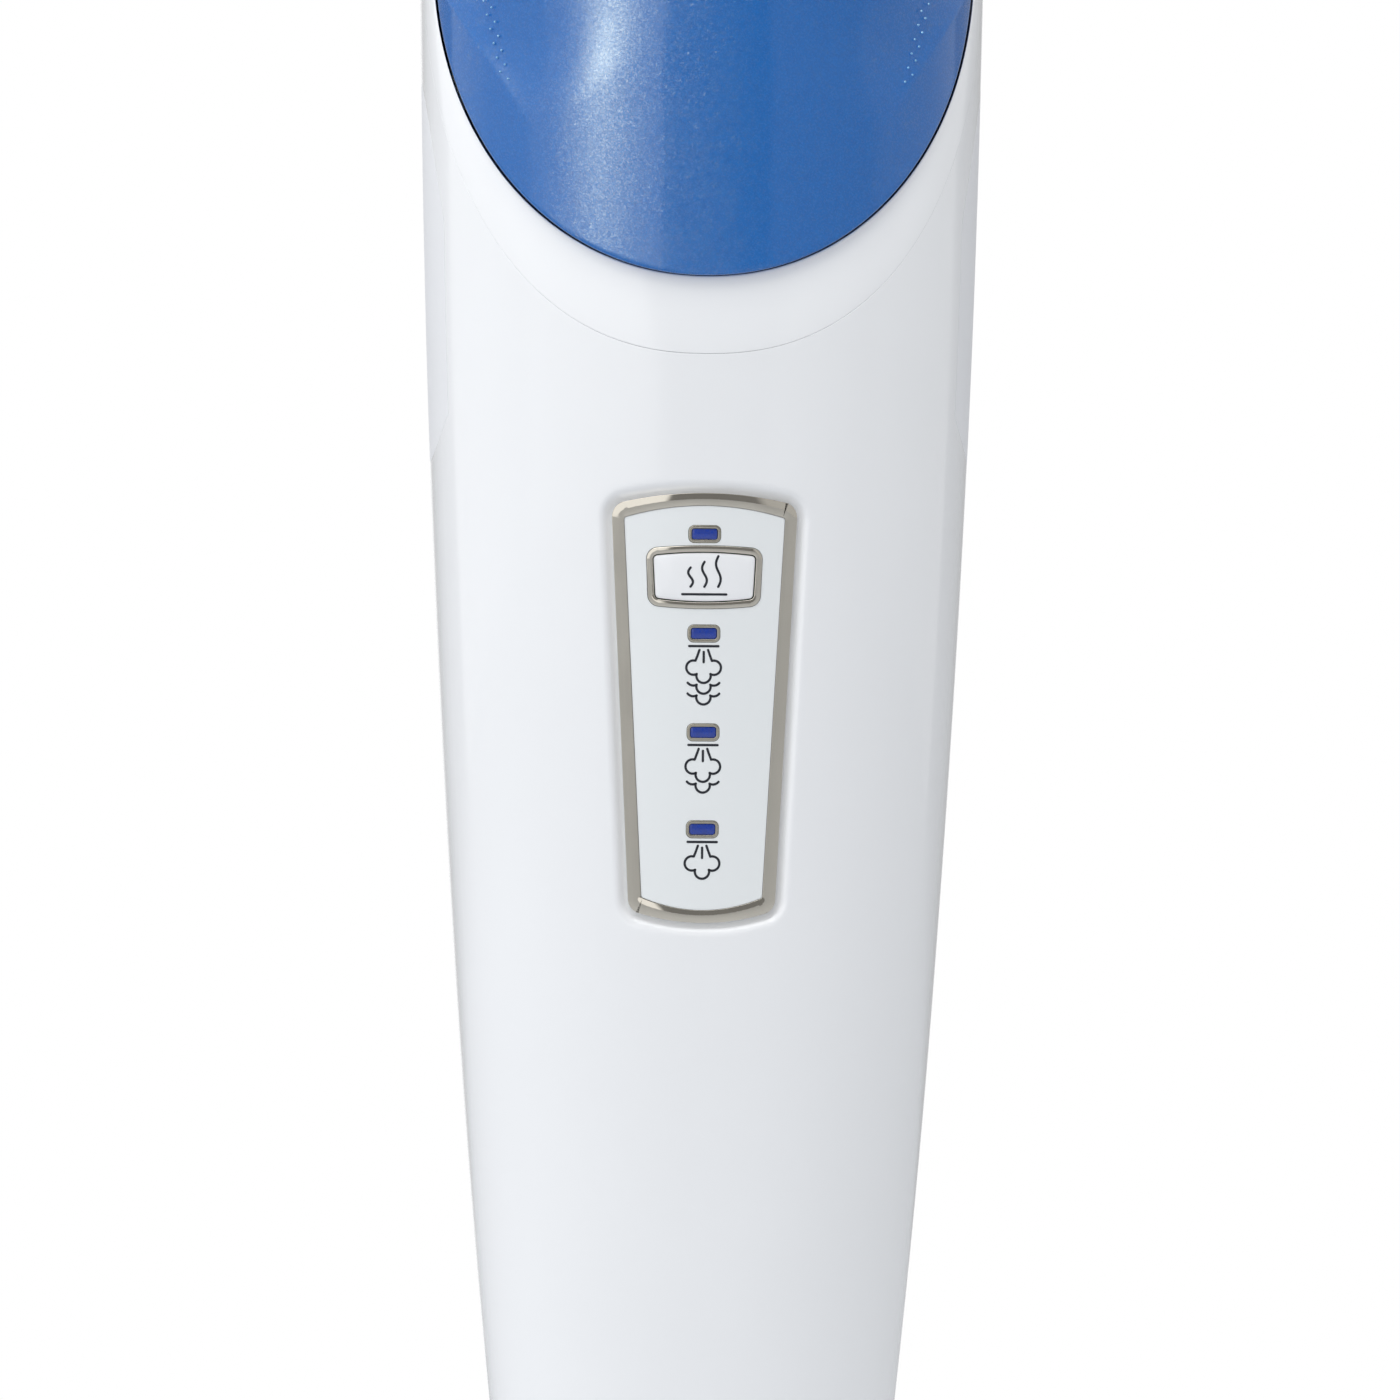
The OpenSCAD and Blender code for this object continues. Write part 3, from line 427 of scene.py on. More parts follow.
def flake_paint(name, base, deep):
    """Metallic-flake plastic: a blue body under a layer of fine silver flakes and a clear skin."""
    s = Surface(name)
    flakes = s.node("ShaderNodeTexVoronoi", {"Vector": s.place, "Scale": 3600})
    fleck = s.node("ShaderNodeSeparateColor", {"Color": flakes.outputs["Color"]})
    s.set(Roughness=0.03, Specular_IOR_Level=0.4, Coat_IOR=1.42)
    s.link(s.mix(fleck.outputs["Red"], base, deep), "Base Color")
    s.link(s.span(fleck.outputs["Green"], 0.5, 1.0, 0, 1), "Coat Weight")
    s.link(s.span(fleck.outputs["Blue"], 0.2, 0.31, 0, 1), "Coat Roughness")
    s.link(s.bump(fleck.outputs["Blue"], 0.03 * MM), "Coat Normal")
    return s.material


def microfibre(name, colour):
    """Looped microfibre: tufts in rows with painted shade in the gaps between them, patches of soil, a fine
    fibre grain and a soft sheen.
    """
    s = Surface(name)
    s.set(Sheen_Weight=0.6, Sheen_Roughness=0.6, Specular_IOR_Level=0.15)
    tufts = s.node("ShaderNodeTexVoronoi", {"Vector": s.place, "Scale": 520}).outputs["Distance"]
    fibre = s.noise(2600, 3)
    soil = s.noise(30, 4)
    # Painted shade: each tuft cell darkens towards its edge, where the gaps between tufts are.
    painted_tuft_shade = s.mix(s.span(tufts, 0, 1, 0.0, 0.75), scaled(colour, 1.04), scaled(colour, 0.74))
    s.link(s.mix(s.span(soil, 0, 0.35, 0.35, 0.75), painted_tuft_shade, scaled(colour, 0.82)), "Base Color")
    s.link(s.span(fibre, 0.82, 0.98), "Roughness")
    under = s.bump(fibre, 0.12 * MM, 0.8)
    s.link(s.bump(tufts, 0.5 * MM, 0.9, under), "Normal")
    return s.material


def woven(name, colour, pitch=1.1):
    """Woven tape: ribs one way, crossed by a finer thread, with painted shade darkening the grooves between
    the ribs.
    """
    s = Surface(name)
    s.set(Sheen_Weight=0.3, Sheen_Roughness=0.5, Specular_IOR_Level=0.2)
    rib = s.node("ShaderNodeTexWave", {"Vector": s.place, "Scale": 1000 / pitch / 6.283,
                                       "Distortion": 0.6}, bands_direction="DIAGONAL").outputs["Fac"]
    thread = s.noise(2200, 2)
    # Painted shade: the colour follows the rib height, darker in the grooves.
    s.link(s.mix(rib, scaled(colour, 0.8), scaled(colour, 1.05)), "Base Color")
    s.link(s.span(thread, 0.7, 0.9), "Roughness")
    s.link(s.bump(rib, 0.08 * MM, 0.8, s.bump(thread, 0.05 * MM)), "Normal")
    return s.material


def circuit_board(name):
    """Green board with lighter copper runs under the lacquer."""
    s = Surface(name)
    s.set(Coat_Weight=0.5, Coat_Roughness=0.15)
    runs = s.node("ShaderNodeTexBrick", {"Vector": s.place, "Scale": 160,
                                         "Color1": linear(20, 92, 50), "Color2": linear(26, 104, 58),
                                         "Mortar": linear(60, 140, 84)})
    s.link(runs.outputs["Color"], "Base Color")
    s.link(s.span(s.noise(300), 0.35, 0.5), "Roughness")
    return s.material


def clear_tube(name, colour):
    """Milky, half-clear hose."""
    s = Surface(name)
    s.set(Transmission_Weight=0.35, Specular_IOR_Level=0.5)
    milk = s.noise(120, 3)
    s.link(s.mix(s.span(milk, 0, 1), scaled(colour, 0.9), colour), "Base Color")
    s.link(s.span(milk, 0.25, 0.4), "Roughness")
    s.link(s.bump(s.noise(500), 0.01 * MM), "Normal")
    return s.material


def lamp_window(name, colour):
    """Coloured light window with a faint prism grain behind it."""
    s = Surface(name)
    s.set(Coat_Weight=0.6, Coat_Roughness=0.05)
    cells = s.node("ShaderNodeTexVoronoi", {"Vector": s.place, "Scale": 1500}).outputs["Distance"]
    s.link(s.mix(s.span(cells, 0, 1, 0, 0.8), scaled(colour, 1.12), scaled(colour, 0.85)), "Base Color")
    s.link(s.span(cells, 0.2, 0.35, 0, 0.8), "Roughness")
    return s.material


GLOSS = plastic("white_gloss", linear(245, 247, 250), 0.13, grain=140, depth=0.004, vary=0.006,
                scuff=0.02, coat=0.3)
SATIN = plastic("white_satin", linear(238, 240, 244), 0.42, vary=0.012, depth=0.008, specular=0.3)
PANEL = plastic("panel_white", linear(238, 242, 244), 0.2, grain=300, depth=0.002, vary=0.004, scuff=0.03)
INK = plastic("icon_ink", linear(20, 24, 36), 0.45, vary=0.1)
GREY = plastic("grey_plastic", linear(118, 121, 127), 0.45, vary=0.05, depth=0.02)
DARK = plastic("dark_plastic", linear(38, 39, 42), 0.42, vary=0.12, depth=0.025, scuff=0.1)
BUMPER = rubber("bumper_rubber", linear(112, 116, 122), 0.6)
BLACK_RUBBER = rubber("black_rubber", linear(34, 34, 36), 0.65)
BLACK_GRIP = rubber("grip_rubber", linear(84, 88, 94), 0.62, 1800, 0.02)
CHROME = mirror_metal("chrome", linear(206, 201, 190), 0.04)
SILVER = mirror_metal("led_silver", linear(186, 181, 168), 0.25)
STEEL = brushed("steel", linear(190, 190, 192), 0.3)
ALUMINIUM = brushed("aluminium", linear(206, 208, 212), 0.34)
TANK_BLUE = flake_paint("tank_blue", linear(0, 106, 188), linear(0, 92, 172))
# Painted highlight: the dots are the tank's own blue, and this lighter blue stands in for light catching
# their raised tops.
TANK_DOTS_PAINTED_HIGHLIGHT = plastic("tank_dots_painted_highlight", linear(96, 166, 222), 0.3, vary=0.08)
WINDOW_BLUE = lamp_window("led_blue", linear(14, 56, 158))
LED_CLEAR = clear_tube("led_clear", linear(225, 230, 240))
HOSE = clear_tube("clear_hose", linear(225, 228, 232))
BOARD = circuit_board("board_green")
PAD = microfibre("pad_fabric", linear(236, 238, 241))
BINDING = woven("pad_binding", linear(120, 128, 138))
HOOK_STRIP = woven("hook_strip", linear(232, 233, 235), 1.6)
VALVE_WHITE = plastic("valve_white", linear(232, 232, 230), 0.4, vary=0.02)
PAINTED_TUBE = plastic("white_tube", linear(233, 235, 238), 0.26, grain=260, depth=0.006, vary=0.01)

SLOT_MATERIALS = {
    "pad_fabric": PAD, "hook_strip": HOOK_STRIP, "grey_plastic": GREY, "bumper_rubber": BUMPER,
    "dark_plastic": DARK, "white_gloss": GLOSS, "panel_white": PANEL, "steel": STEEL,
    "aluminium": ALUMINIUM, "black_rubber": BLACK_RUBBER, "clear_hose": HOSE, "board_green": BOARD,
    "led_blue": WINDOW_BLUE, "led_clear": LED_CLEAR, "led_silver": SILVER, "chrome": CHROME,
    "tank_blue": TANK_BLUE, "valve_white": VALVE_WHITE,
}


NODE_SLOT = {row["node"]: row["material_slot"] for row in frame["record"]["subparts"]}
NODE_BODY = {node: body for body, nodes in frame["record"]["behaviour"]["bodies"].items() for node in nodes}
for name, node in frame["nodes"].items():
    node.data.materials.clear()
    node.data.materials.append(SLOT_MATERIALS[NODE_SLOT[name]])


def softened(node, width, material=None, segments=2, angle=30, cuts=()):
    """Copy of a CAD node with its edges rounded over, and small features cut in first."""
    obj = frame["nodes"][node].copy()
    obj.data = frame["nodes"][node].data.copy()
    obj.name = node + "_visual"
    obj.data.name = obj.name
    for key in [k for k in obj.keys() if k.startswith("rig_")]:
        del obj[key]
    place = frame["nodes"][node].matrix_world.copy()
    obj.parent = None
    obj.matrix_world = place
    obj.hide_render = False
    bpy.context.scene.collection.objects.link(obj)
    bm = bmesh.new()
    bm.from_mesh(obj.data)
    bmesh.ops.remove_doubles(bm, verts=bm.verts, dist=2e-6)
    bmesh.ops.dissolve_limit(bm, angle_limit=math.radians(1), verts=bm.verts, edges=bm.edges)
    bm.to_mesh(obj.data)
    bm.free()
    if cuts:
        cut(obj, cuts)
    bevel = obj.modifiers.new("round", "BEVEL")
    bevel.width = width * MM
    bevel.segments = segments
    bevel.limit_method = "ANGLE"
    bevel.angle_limit = math.radians(angle)
    bevel.use_clamp_overlap = True
    apply_modifiers(obj)
    return settle(obj, material or SLOT_MATERIALS[NODE_SLOT[node]], NODE_BODY[node],
                  [node], 40)


# ---- Body outline, as the CAD model has it ----
HALF_W, FRONT_D, REAR_D, POWER = 59.5, 50.0, 44.0, 2.3
STATIONS = np.array([150, 205, 264, 350, 460, 560, 640, 700.0])
WIDTH_SHARES = np.array([0.437, 0.588, 0.718, 0.845, 0.951, 0.998, 1, 0.95])
FRONT_SHARES = np.array([0.48, 0.61, 0.72, 0.84, 0.94, 1, 1, 0.95])
REAR_SHARES = np.array([0.545, 0.63, 0.705, 0.795, 0.886, 0.955, 1, 0.98])
WALL = 2.4
BODY_LOW = mm_box("rear_shell")[0][2]
BODY_TOP = mm_box("rear_shell")[1][2]


def along(shares, z):
    """Smooth curve through the shares at the stations."""
    last = len(STATIONS) - 1
    before, after = np.maximum(np.arange(last + 1) - 1, 0), np.minimum(np.arange(last + 1) + 1, last)
    slope = (shares[after] - shares[before]) / (STATIONS[after] - STATIONS[before])
    i = np.clip(np.searchsorted(STATIONS, z, "right") - 1, 0, last - 1)
    h = STATIONS[i + 1] - STATIONS[i]
    t = (z - STATIONS[i]) / h
    return ((2 * t**3 - 3 * t**2 + 1) * shares[i] + (t**3 - 2 * t**2 + t) * h * slope[i]
            + (3 * t**2 - 2 * t**3) * shares[i + 1] + (t**3 - t**2) * h * slope[i + 1])


def half_w(z):
    return HALF_W * along(WIDTH_SHARES, z)


def front_d(z):
    return FRONT_D * along(FRONT_SHARES, z)


def rear_d(z):
    return REAR_D * along(REAR_SHARES, z)


def body_point(z, t, inset=0.0):
    """Point of the body's surface at height z and angle t in degrees, 0 at the front."""
    z, t, inset = np.broadcast_arrays(np.asarray(z, float), t, inset)
    s, c = np.sin(np.radians(t)), np.cos(np.radians(t))
    depth = np.where(c > 0, front_d(z), rear_d(z))
    return np.stack([(half_w(z) - inset) * sign_pow(s, 2 / POWER),
                     -(depth - inset) * sign_pow(c, 2 / POWER), z], -1)


def front_y(x, z):
    share = np.clip(np.abs(x) / half_w(z), 0, 1)
    return -front_d(z) * (1 - share**POWER) ** (1 / POWER)


LENS_LOW, LENS_HIGH, LENS_ROUND, LENS_TAPER, LENS_ANGLE = 462, 542, 10, 29, 22.5


def parting(z):
    """Angle at which the front and rear shells meet, with the lens-shaped flank on each side."""
    share = np.minimum(np.minimum((z - LENS_LOW) / LENS_ROUND, (LENS_HIGH - z) / LENS_TAPER), 1)
    return 90 - LENS_ANGLE * np.sqrt(np.clip(share, 0, 1))


TANK_HALF_W, TANK_TIP, INNER_RISE, INNER_POWER = 56.9, 501.0, 68.0, 2.1
OUTER_HALF_W, OUTER_TIP, OUTER_RISE, OUTER_POWER = 59.3, 484.6, 90.0, 2.3
TANK_TOP = mm_box("tank_shell")[1][2]


def u_height(x, half, tip, rise, power):
    """Height of a U-shaped edge at x."""
    return tip + rise - rise * (1 - np.clip(np.abs(x) / half, 0, 1) ** power) ** (1 / power)


def u_edge(half, tip, rise, power, top, arm_x=None, steps=120, arm_steps=24):
    """Points (x, z) of a U-shaped edge, from the top of its left arm to the top of its right arm."""
    t = np.radians(np.linspace(-90, 90, steps + 1))
    curve = np.stack([half * sign_pow(np.sin(t), 2 / power),
                      tip + rise - rise * sign_pow(np.cos(t), 2 / power)], 1)
    arm = np.linspace(top, tip + rise + 0.05, arm_steps)
    left = np.stack([-half + 0 * arm if arm_x is None else -arm_x(arm), arm], 1)
    return np.concatenate([left, curve, (left * [-1, 1])[::-1]])


# ---- Control panel outline, as the CAD model has it ----
PANEL_Z, PANEL_H, PANEL_TOP_W, PANEL_LOW_W, PANEL_R, FRAME_BAND = 410.5, 90.0, 39.0, 30.6, 95.0, 2.6
PANEL_Y = -float(front_d(PANEL_Z))
PANEL_TILT = math.atan(float(front_d(PANEL_Z + 40) - front_d(PANEL_Z - 40)) / 80)
LED_HEIGHTS = (36.4, 15.6, -5.1, -25.4)
LED_W, LED_H = 6.7, 3.6
BUTTON_UP, BUTTON_W, BUTTON_H, BUTTON_BAND = 27.4, 24.4, 13.2, 1.3
FRAME_DEPTH, PLATE_DEPTH, RING_DEPTH, BUTTON_DEPTH = 0.35, 0.5, 0.3, 0.1
PANEL_BACK = 1.5


def panel_point(x, z, depth):
    """Place on the panel: x to the right, z up along it, depth into the body."""
    x, z, depth = np.broadcast_arrays(np.asarray(x, float), z, depth)
    y = PANEL_R - np.sqrt(PANEL_R**2 - x**2) + depth
    c, s = math.cos(PANEL_TILT), math.sin(PANEL_TILT)
    return np.stack([x, PANEL_Y + y * c - z * s, PANEL_Z + y * s + z * c], -1)


def on_panel(points):
    """Panel coordinates (x, depth behind its flat tangent plane, z) of points."""
    c, s = math.cos(PANEL_TILT), math.sin(PANEL_TILT)
    y, z = points[..., 1] - PANEL_Y, points[..., 2] - PANEL_Z
    return points[..., 0], y * c + z * s, -y * s + z * c


def panel_outline(grow, steps=20):
    top, low = PANEL_H / 2 + grow, -PANEL_H / 2 - grow
    wt, wb, rise = PANEL_TOP_W / 2 + grow, PANEL_LOW_W / 2 + grow, 2.6
    s = np.linspace(1, -1, steps + 1)
    points = np.concatenate([np.stack([wt * s, top - rise * s**2], 1),
                             np.stack([-wb * s, low + rise * s**2], 1)])
    radii = [3.2 + grow if i % (steps + 1) in (0, steps) else 0 for i in range(len(points))]
    return rounded(points, radii)


def bowed_box(w, h, r, bow, taper, up, steps=12):
    """Box outline with bowed long sides and slightly tapered short sides."""
    s = np.linspace(1, -1, steps + 1)
    top = np.stack([w / 2 * s, h / 2 + bow * (1 - s**2) - bow], 1)
    low = np.stack([-(w / 2 - taper) * s, -h / 2 - bow * (1 - s**2) + bow], 1)
    points = np.concatenate([top, low])
    radii = [r if i % (steps + 1) in (0, steps) else 0 for i in range(len(points))]
    return rounded(points, radii) + [0, up]


def button_outline(grow):
    return bowed_box(BUTTON_W + 2 * grow, BUTTON_H + 2 * grow, 2.4 + grow, 0.7, 0.5, BUTTON_UP)


def led_outline(grow, up):
    return rounded_box(LED_W + 2 * grow, LED_H + 2 * grow, 1.2 + grow) + [0, up]


def slab(outer, holes, depth, back, loops=(), step=1.2):
    """Plate on the panel inside outline outer, from depth(x, z) to back, with holes."""
    points, edges = [], []
    for line in [outer, *holes, *loops]:
        start = len(points)
        points += list(line)
        edges += [(start + i, start + (i + 1) % len(line)) for i in range(len(line))]
    low, high = outer.min(0), outer.max(0)
    xs = np.linspace(low[0], high[0], max(3, int((high[0] - low[0]) / step)))
    zs = np.linspace(low[1], high[1], max(3, int((high[1] - low[1]) / step)))
    spare = np.stack(np.meshgrid(xs, zs), -1).reshape(-1, 2)
    room = edge_distance(outer, spare) < -step / 3
    for line in [*holes, *loops]:
        room &= np.abs(edge_distance(line, spare)) > step / 3
    points += list(spare[room])
    flat, _, triangles, *_ = delaunay_2d_cdt([Vector(p) for p in points], edges, [], 0, 1e-7)
    flat = np.array([tuple(p) for p in flat])
    triangles = np.array([t for t in triangles])
    middle = flat[triangles].mean(1)
    kept = inside(outer, middle)
    for hole in holes:
        kept &= ~inside(hole, middle)
    triangles = triangles[kept]
    front = panel_point(flat[:, 0], flat[:, 1], depth(flat[:, 0], flat[:, 1]))
    rear = panel_point(flat[:, 0], flat[:, 1], back)
    count = len(flat)
    faces, seen = [], set()
    for a, b, c in triangles.tolist():
        faces += [[a, b, c], [c + count, b + count, a + count]]
        seen |= {(a, b), (b, c), (c, a)}
    faces += [[b, a, a + count, b + count] for a, b in seen if (b, a) not in seen]
    used = sorted({i for f in faces for i in f})
    place = {old: new for new, old in enumerate(used)}
    return np.concatenate([front, rear])[used], [[place[i] for i in f] for f in faces]


def band(outline, profile):
    """Ring on the panel whose section is a closed profile of (growth, depth) points."""
    rings = []
    for grow, depth in profile:
        line = outline(grow)
        rings.append(panel_point(line[:, 0], line[:, 1], depth))
    return loft(rings, join=True)


def band_profile(width, front, back, edge):
    """Section of a flat band with softened front edges, growing inwards from 0."""
    steps = np.linspace(0, math.pi / 2, 5)
    outer = [(-edge * (1 - math.cos(a)), front + edge * (1 - math.sin(a))) for a in steps]
    inner = [(-width + edge * (1 - math.cos(a)), front + edge * (1 - math.sin(a))) for a in steps[::-1]]
    return [(0, back), *outer, *inner, (-width, back)]


# ---- Shells ----
def section_angles(z, step_front):
    """Angles from 0 to 90 along the body's front section at z, denser in the middle and at the end."""
    t = np.linspace(0, 90, 2000)
    p = body_point(z, t)
    arc = np.concatenate([[0], np.cumsum(np.linalg.norm(np.diff(p, axis=0), axis=1))])
    dense = np.arange(0, 25, step_front)
    wide = np.linspace(25, arc[-1] - 16, 22)
    outer = np.linspace(arc[-1] - 15.2, arc[-1] - 1.4, 22)
    ends = arc[-1] - np.array([0.9, 0.5, 0.32, 0.18, 0.08, 0.02, 0])
    return np.interp(np.concatenate([dense, wide, outer, ends]), arc, t), arc[-1]


RECESS_DEPTH, RECESS_WIDTH = 1.6, 2.7


def front_shell():
    half, reach = section_angles(PANEL_Z, 0.6)
    share = np.concatenate([-half[:0:-1], half]) / 90
    lower = np.concatenate([BODY_LOW + np.array([0, 0.05, 0.13, 0.25, 0.4, 0.7, 1.2]),
                            np.linspace(BODY_LOW + 3, 358, 66), np.arange(359, LENS_LOW, 0.7)])
    low, high = np.full(len(share), 480.0), np.full(len(share), 574.0)
    for _ in range(40):
        middle = (low + high) / 2
        x = body_point(middle, share * 90)[..., 0]
        above = middle > u_height(x, OUTER_HALF_W, OUTER_TIP, OUTER_RISE, OUTER_POWER) - 0.02
        low, high = np.where(above, low, middle), np.where(above, middle, high)
    top = (low + high) / 2
    edge_x = body_point(top, share * 90)
    run = np.linalg.norm(np.gradient(edge_x, axis=0)[:, :2], axis=1)
    lean = run / np.hypot(run, np.gradient(top))
    fan = np.concatenate([np.linspace(0, 0.9, 62),
                          1 - np.array([0.075, 0.05, 0.03, 0.018, 0.01, 0.005, 0.002, 0])])
    upper = LENS_LOW + fan[:, None] * (top - LENS_LOW)
    z = np.concatenate([np.repeat(lower[:, None], len(share), 1), upper])
    t = share * 90 + 0 * z
    side = (1 - np.abs(share)) * reach + 0 * z
    inset = np.maximum.reduce([lip(z - BODY_LOW, 0.8), lip(side, 0.2), lip((top - z) * lean, 0.14)])
    outer = body_point(z, t, inset)
    x, y, up = on_panel(outer)
    line = edge_distance(panel_outline(0), np.stack([x.ravel(), up.ravel()], 1)).reshape(x.shape)
    sunk = smooth((RECESS_WIDTH - line) / (RECESS_WIDTH - 0.25))
    target = panel_point(x, up, RECESS_DEPTH)
    outer = outer + (target - outer) * sunk[..., None]
    inner = body_point(z, t, WALL)
    behind = sunk > 0
    inner[..., 1] = np.where(behind, np.maximum(inner[..., 1], outer[..., 1] + 0.8), inner[..., 1])
    centre_x, centre_up = (x[:-1, :-1] + x[1:, 1:]) / 2, (up[:-1, :-1] + up[1:, 1:]) / 2
    window = (np.abs(centre_x) < 12) & (centre_up > -38) & (centre_up < 40)
    shell = new_object("front_shell", grid_solid(outer, inner, ~window))
    finish_mesh(shell, 50)
    heights = np.unique(np.concatenate([LENS_LOW + np.linspace(0, 1, 14) ** 2 * LENS_ROUND,
                                        np.linspace(LENS_LOW + LENS_ROUND, LENS_HIGH - LENS_TAPER, 12),
                                        LENS_HIGH - np.linspace(0, 1, 22) ** 2 * LENS_TAPER]))
    edge = body_point(heights, parting(heights))[:, 1]
    outline = np.concatenate([np.stack([edge, heights], 1), [[8, LENS_HIGH], [8, LENS_LOW]]])
    cut(shell, [loft([[(x, y, z) for y, z in outline] for x in (side * 32, side * 80)]) for side in (-1, 1)])
    return settle(shell, GLOSS, "housing", ["front_shell"], 40)


SCREW_HEIGHTS = (340, 440, 540)
SNAP_Z = float(sum(b[2] for b in mm_box("snap_button")) / 2)
HOOK_LOW_Z = 640.0
REAR_GIRTH = 190.0  # rough length round the rear shell, for the lips at its sides


def rear_shell():
    z = np.concatenate([spread(BODY_LOW, LENS_LOW - 2, 6)[:-6], np.arange(LENS_LOW - 1, LENS_LOW + 12, 0.6),
                        np.arange(LENS_LOW + 13, LENS_HIGH - 4, 2.2),
                        np.arange(LENS_HIGH - 4, LENS_HIGH + 1, 0.6),
                        spread(LENS_HIGH + 2, BODY_TOP, 6)[6:]])
    share = np.concatenate([[0, 0.0006, 0.0016, 0.003, 0.005, 0.009], np.linspace(0.016, 0.984, 80),
                            1 - np.array([0.009, 0.005, 0.003, 0.0016, 0.0006, 0])])
    start = (parting(z) + 0.06)[:, None]
    t = start + (360 - 2 * start) * share
    side = np.minimum(share, 1 - share) * REAR_GIRTH
    inset = np.maximum.reduce([lip(z - BODY_LOW, 0.8)[:, None] + 0 * t,
                               lip(BODY_TOP - z, 0.6)[:, None] + 0 * t,
                               lip(side, 0.2)[None, :] + 0 * t])
    zz = np.repeat(z[:, None], len(share), 1)
    shell = new_object("rear_shell", grid_solid(body_point(zz, t, inset), body_point(zz, t, WALL)))
    finish_mesh(shell, 50)
    holes = []
    for h in SCREW_HEIGHTS:
        rear = float(rear_d(h))
        holes.append(turned([(0, rear - 6), (1.7, rear - 6), (1.7, rear - 1.2), (3.4, rear - 1.2),
                             (3.4, rear - 0.1), (3.9, rear + 0.4), (3.9, rear + 3), (0, rear + 3)],
                            (0, 0, h), "y"))
    for h, r in ((HOOK_LOW_Z, 3.2), (SNAP_Z, 4.3)):
        rear = float(rear_d(h))
        holes.append(turned([(0, rear - 8), (r, rear - 8), (r, rear - 0.3), (r + 0.5, rear + 0.3),
                             (r + 0.5, rear + 3), (0, rear + 3)], (0, 0, h), "y"))
    cut(shell, holes)
    return settle(shell, SATIN, "housing", ["rear_shell"], 40)


BAND_TOP = mm_box("tank_collar")[1][2]


def tank_collar():
    outer = u_edge(OUTER_HALF_W, OUTER_TIP + 0.02, OUTER_RISE, OUTER_POWER, BAND_TOP,
                   lambda z: half_w(z) - 0.003)
    inner = u_edge(TANK_HALF_W + 0.14, TANK_TIP - 0.14, INNER_RISE, INNER_POWER, BAND_TOP)
    outer[:, 0] = np.sign(outer[:, 0]) * np.minimum(np.abs(outer[:, 0]), half_w(outer[:, 1]) - 0.003)
    width = np.linalg.norm(outer - inner, axis=1)
    rings = []
    for o, i, w in zip(outer, inner, width):
        v = np.concatenate([np.array([0, 0.04, 0.1, 0.2, 0.35, 0.5]) / w,
                            np.linspace(0.9 / w, 1 - 1.3 / w, 9),
                            1 - np.array([0.9, 0.6, 0.35, 0.15, 0.05, 0]) / w])
        p = o + (i - o) * v[:, None]
        steep = (np.abs(p[:, 0]) / half_w(p[:, 1])) ** 4
        y = front_y(p[:, 0], p[:, 1]) + 2.0 * v**1.4
        y = y + lip(v * w, 0.14) * (1 - steep) + lip((1 - v) * w, 0.3)
        y = np.minimum(y, -0.4)
        front = np.stack([p[:, 0], y, p[:, 1]], 1)
        back_inner = [i[0], max(y[-1] + 3, -2.9) if abs(i[0]) > 50 else y[-1] + 5, i[1]]
        k = float(steep[0])
        back_outer = [o[0] - np.sign(o[0]) * 1.6 * k, min(y[0] + 2.6, -0.3), o[1]]
        rings.append(np.concatenate([front, [back_inner, back_outer]]))
    return make("tank_collar", loft(rings), GLOSS, "housing", ["tank_collar"], 50)


def bay_rims():
    """Flanges that close the bay's back wall against the rear shell."""
    rims = []
    for side in (-1, 1):
        rings = []
        for z in np.linspace(545, BODY_TOP - 0.05, 40):
            near, far = half_w(z) - WALL - 1.6, half_w(z) - WALL - 0.02
            section = ((near, -2.3), (far, -2.3), (far, -0.45), (near, -0.45))
            rings.append([(side * x, y, z) for x, y in section])
        rims.append(loft(rings))
    make("bay_rims", joined(*rims), GLOSS, "housing")


# ---- Tank ----
TANK_BACK = mm_box("tank_shell")[1][1]


def tank_round(z):
    t = np.clip((z - TANK_TOP + 45) / 45.5, 0, 1)
    return (1 - t**2.6) ** 0.5


SCALLOP = (42.0, 572.0)                # middle (x, z) of the finger scallop on each side
SCALLOP_LEAN = math.radians(57)
CREASE, CREASE_REACH = 17.4, 6.5       # crease's distance from the middle, and how far in it is deepest


def scallop_depth(x, z):
    """Depth of the finger scallops: a crease low on the outside, fading towards the middle."""
    du, dv = np.abs(x) - SCALLOP[0], z - SCALLOP[1]
    a = du * math.cos(SCALLOP_LEAN) + dv * math.sin(SCALLOP_LEAN)
    b = du * math.sin(SCALLOP_LEAN) - dv * math.cos(SCALLOP_LEAN)
    s = np.maximum(CREASE - b, 0) / CREASE_REACH
    return 1.4 * s * np.exp(1 - s) * smooth((a + 38) / 20) * smooth((42 - a) / 20)


def tank_surface(x_share, z, inset):
    """Front of the tank at a share of its half width."""
    shrink = tank_round(z + inset)
    x = x_share * (TANK_HALF_W - inset) * shrink
    w, d = (half_w(z) - 1 - inset) * shrink, (front_d(z) - 0.4 - inset) * shrink
    y = -d * (1 - np.clip(np.abs(x) / w, 0, 1) ** POWER) ** (1 / POWER) - 0.5
    return np.stack([x, y, z + 0 * x], -1)


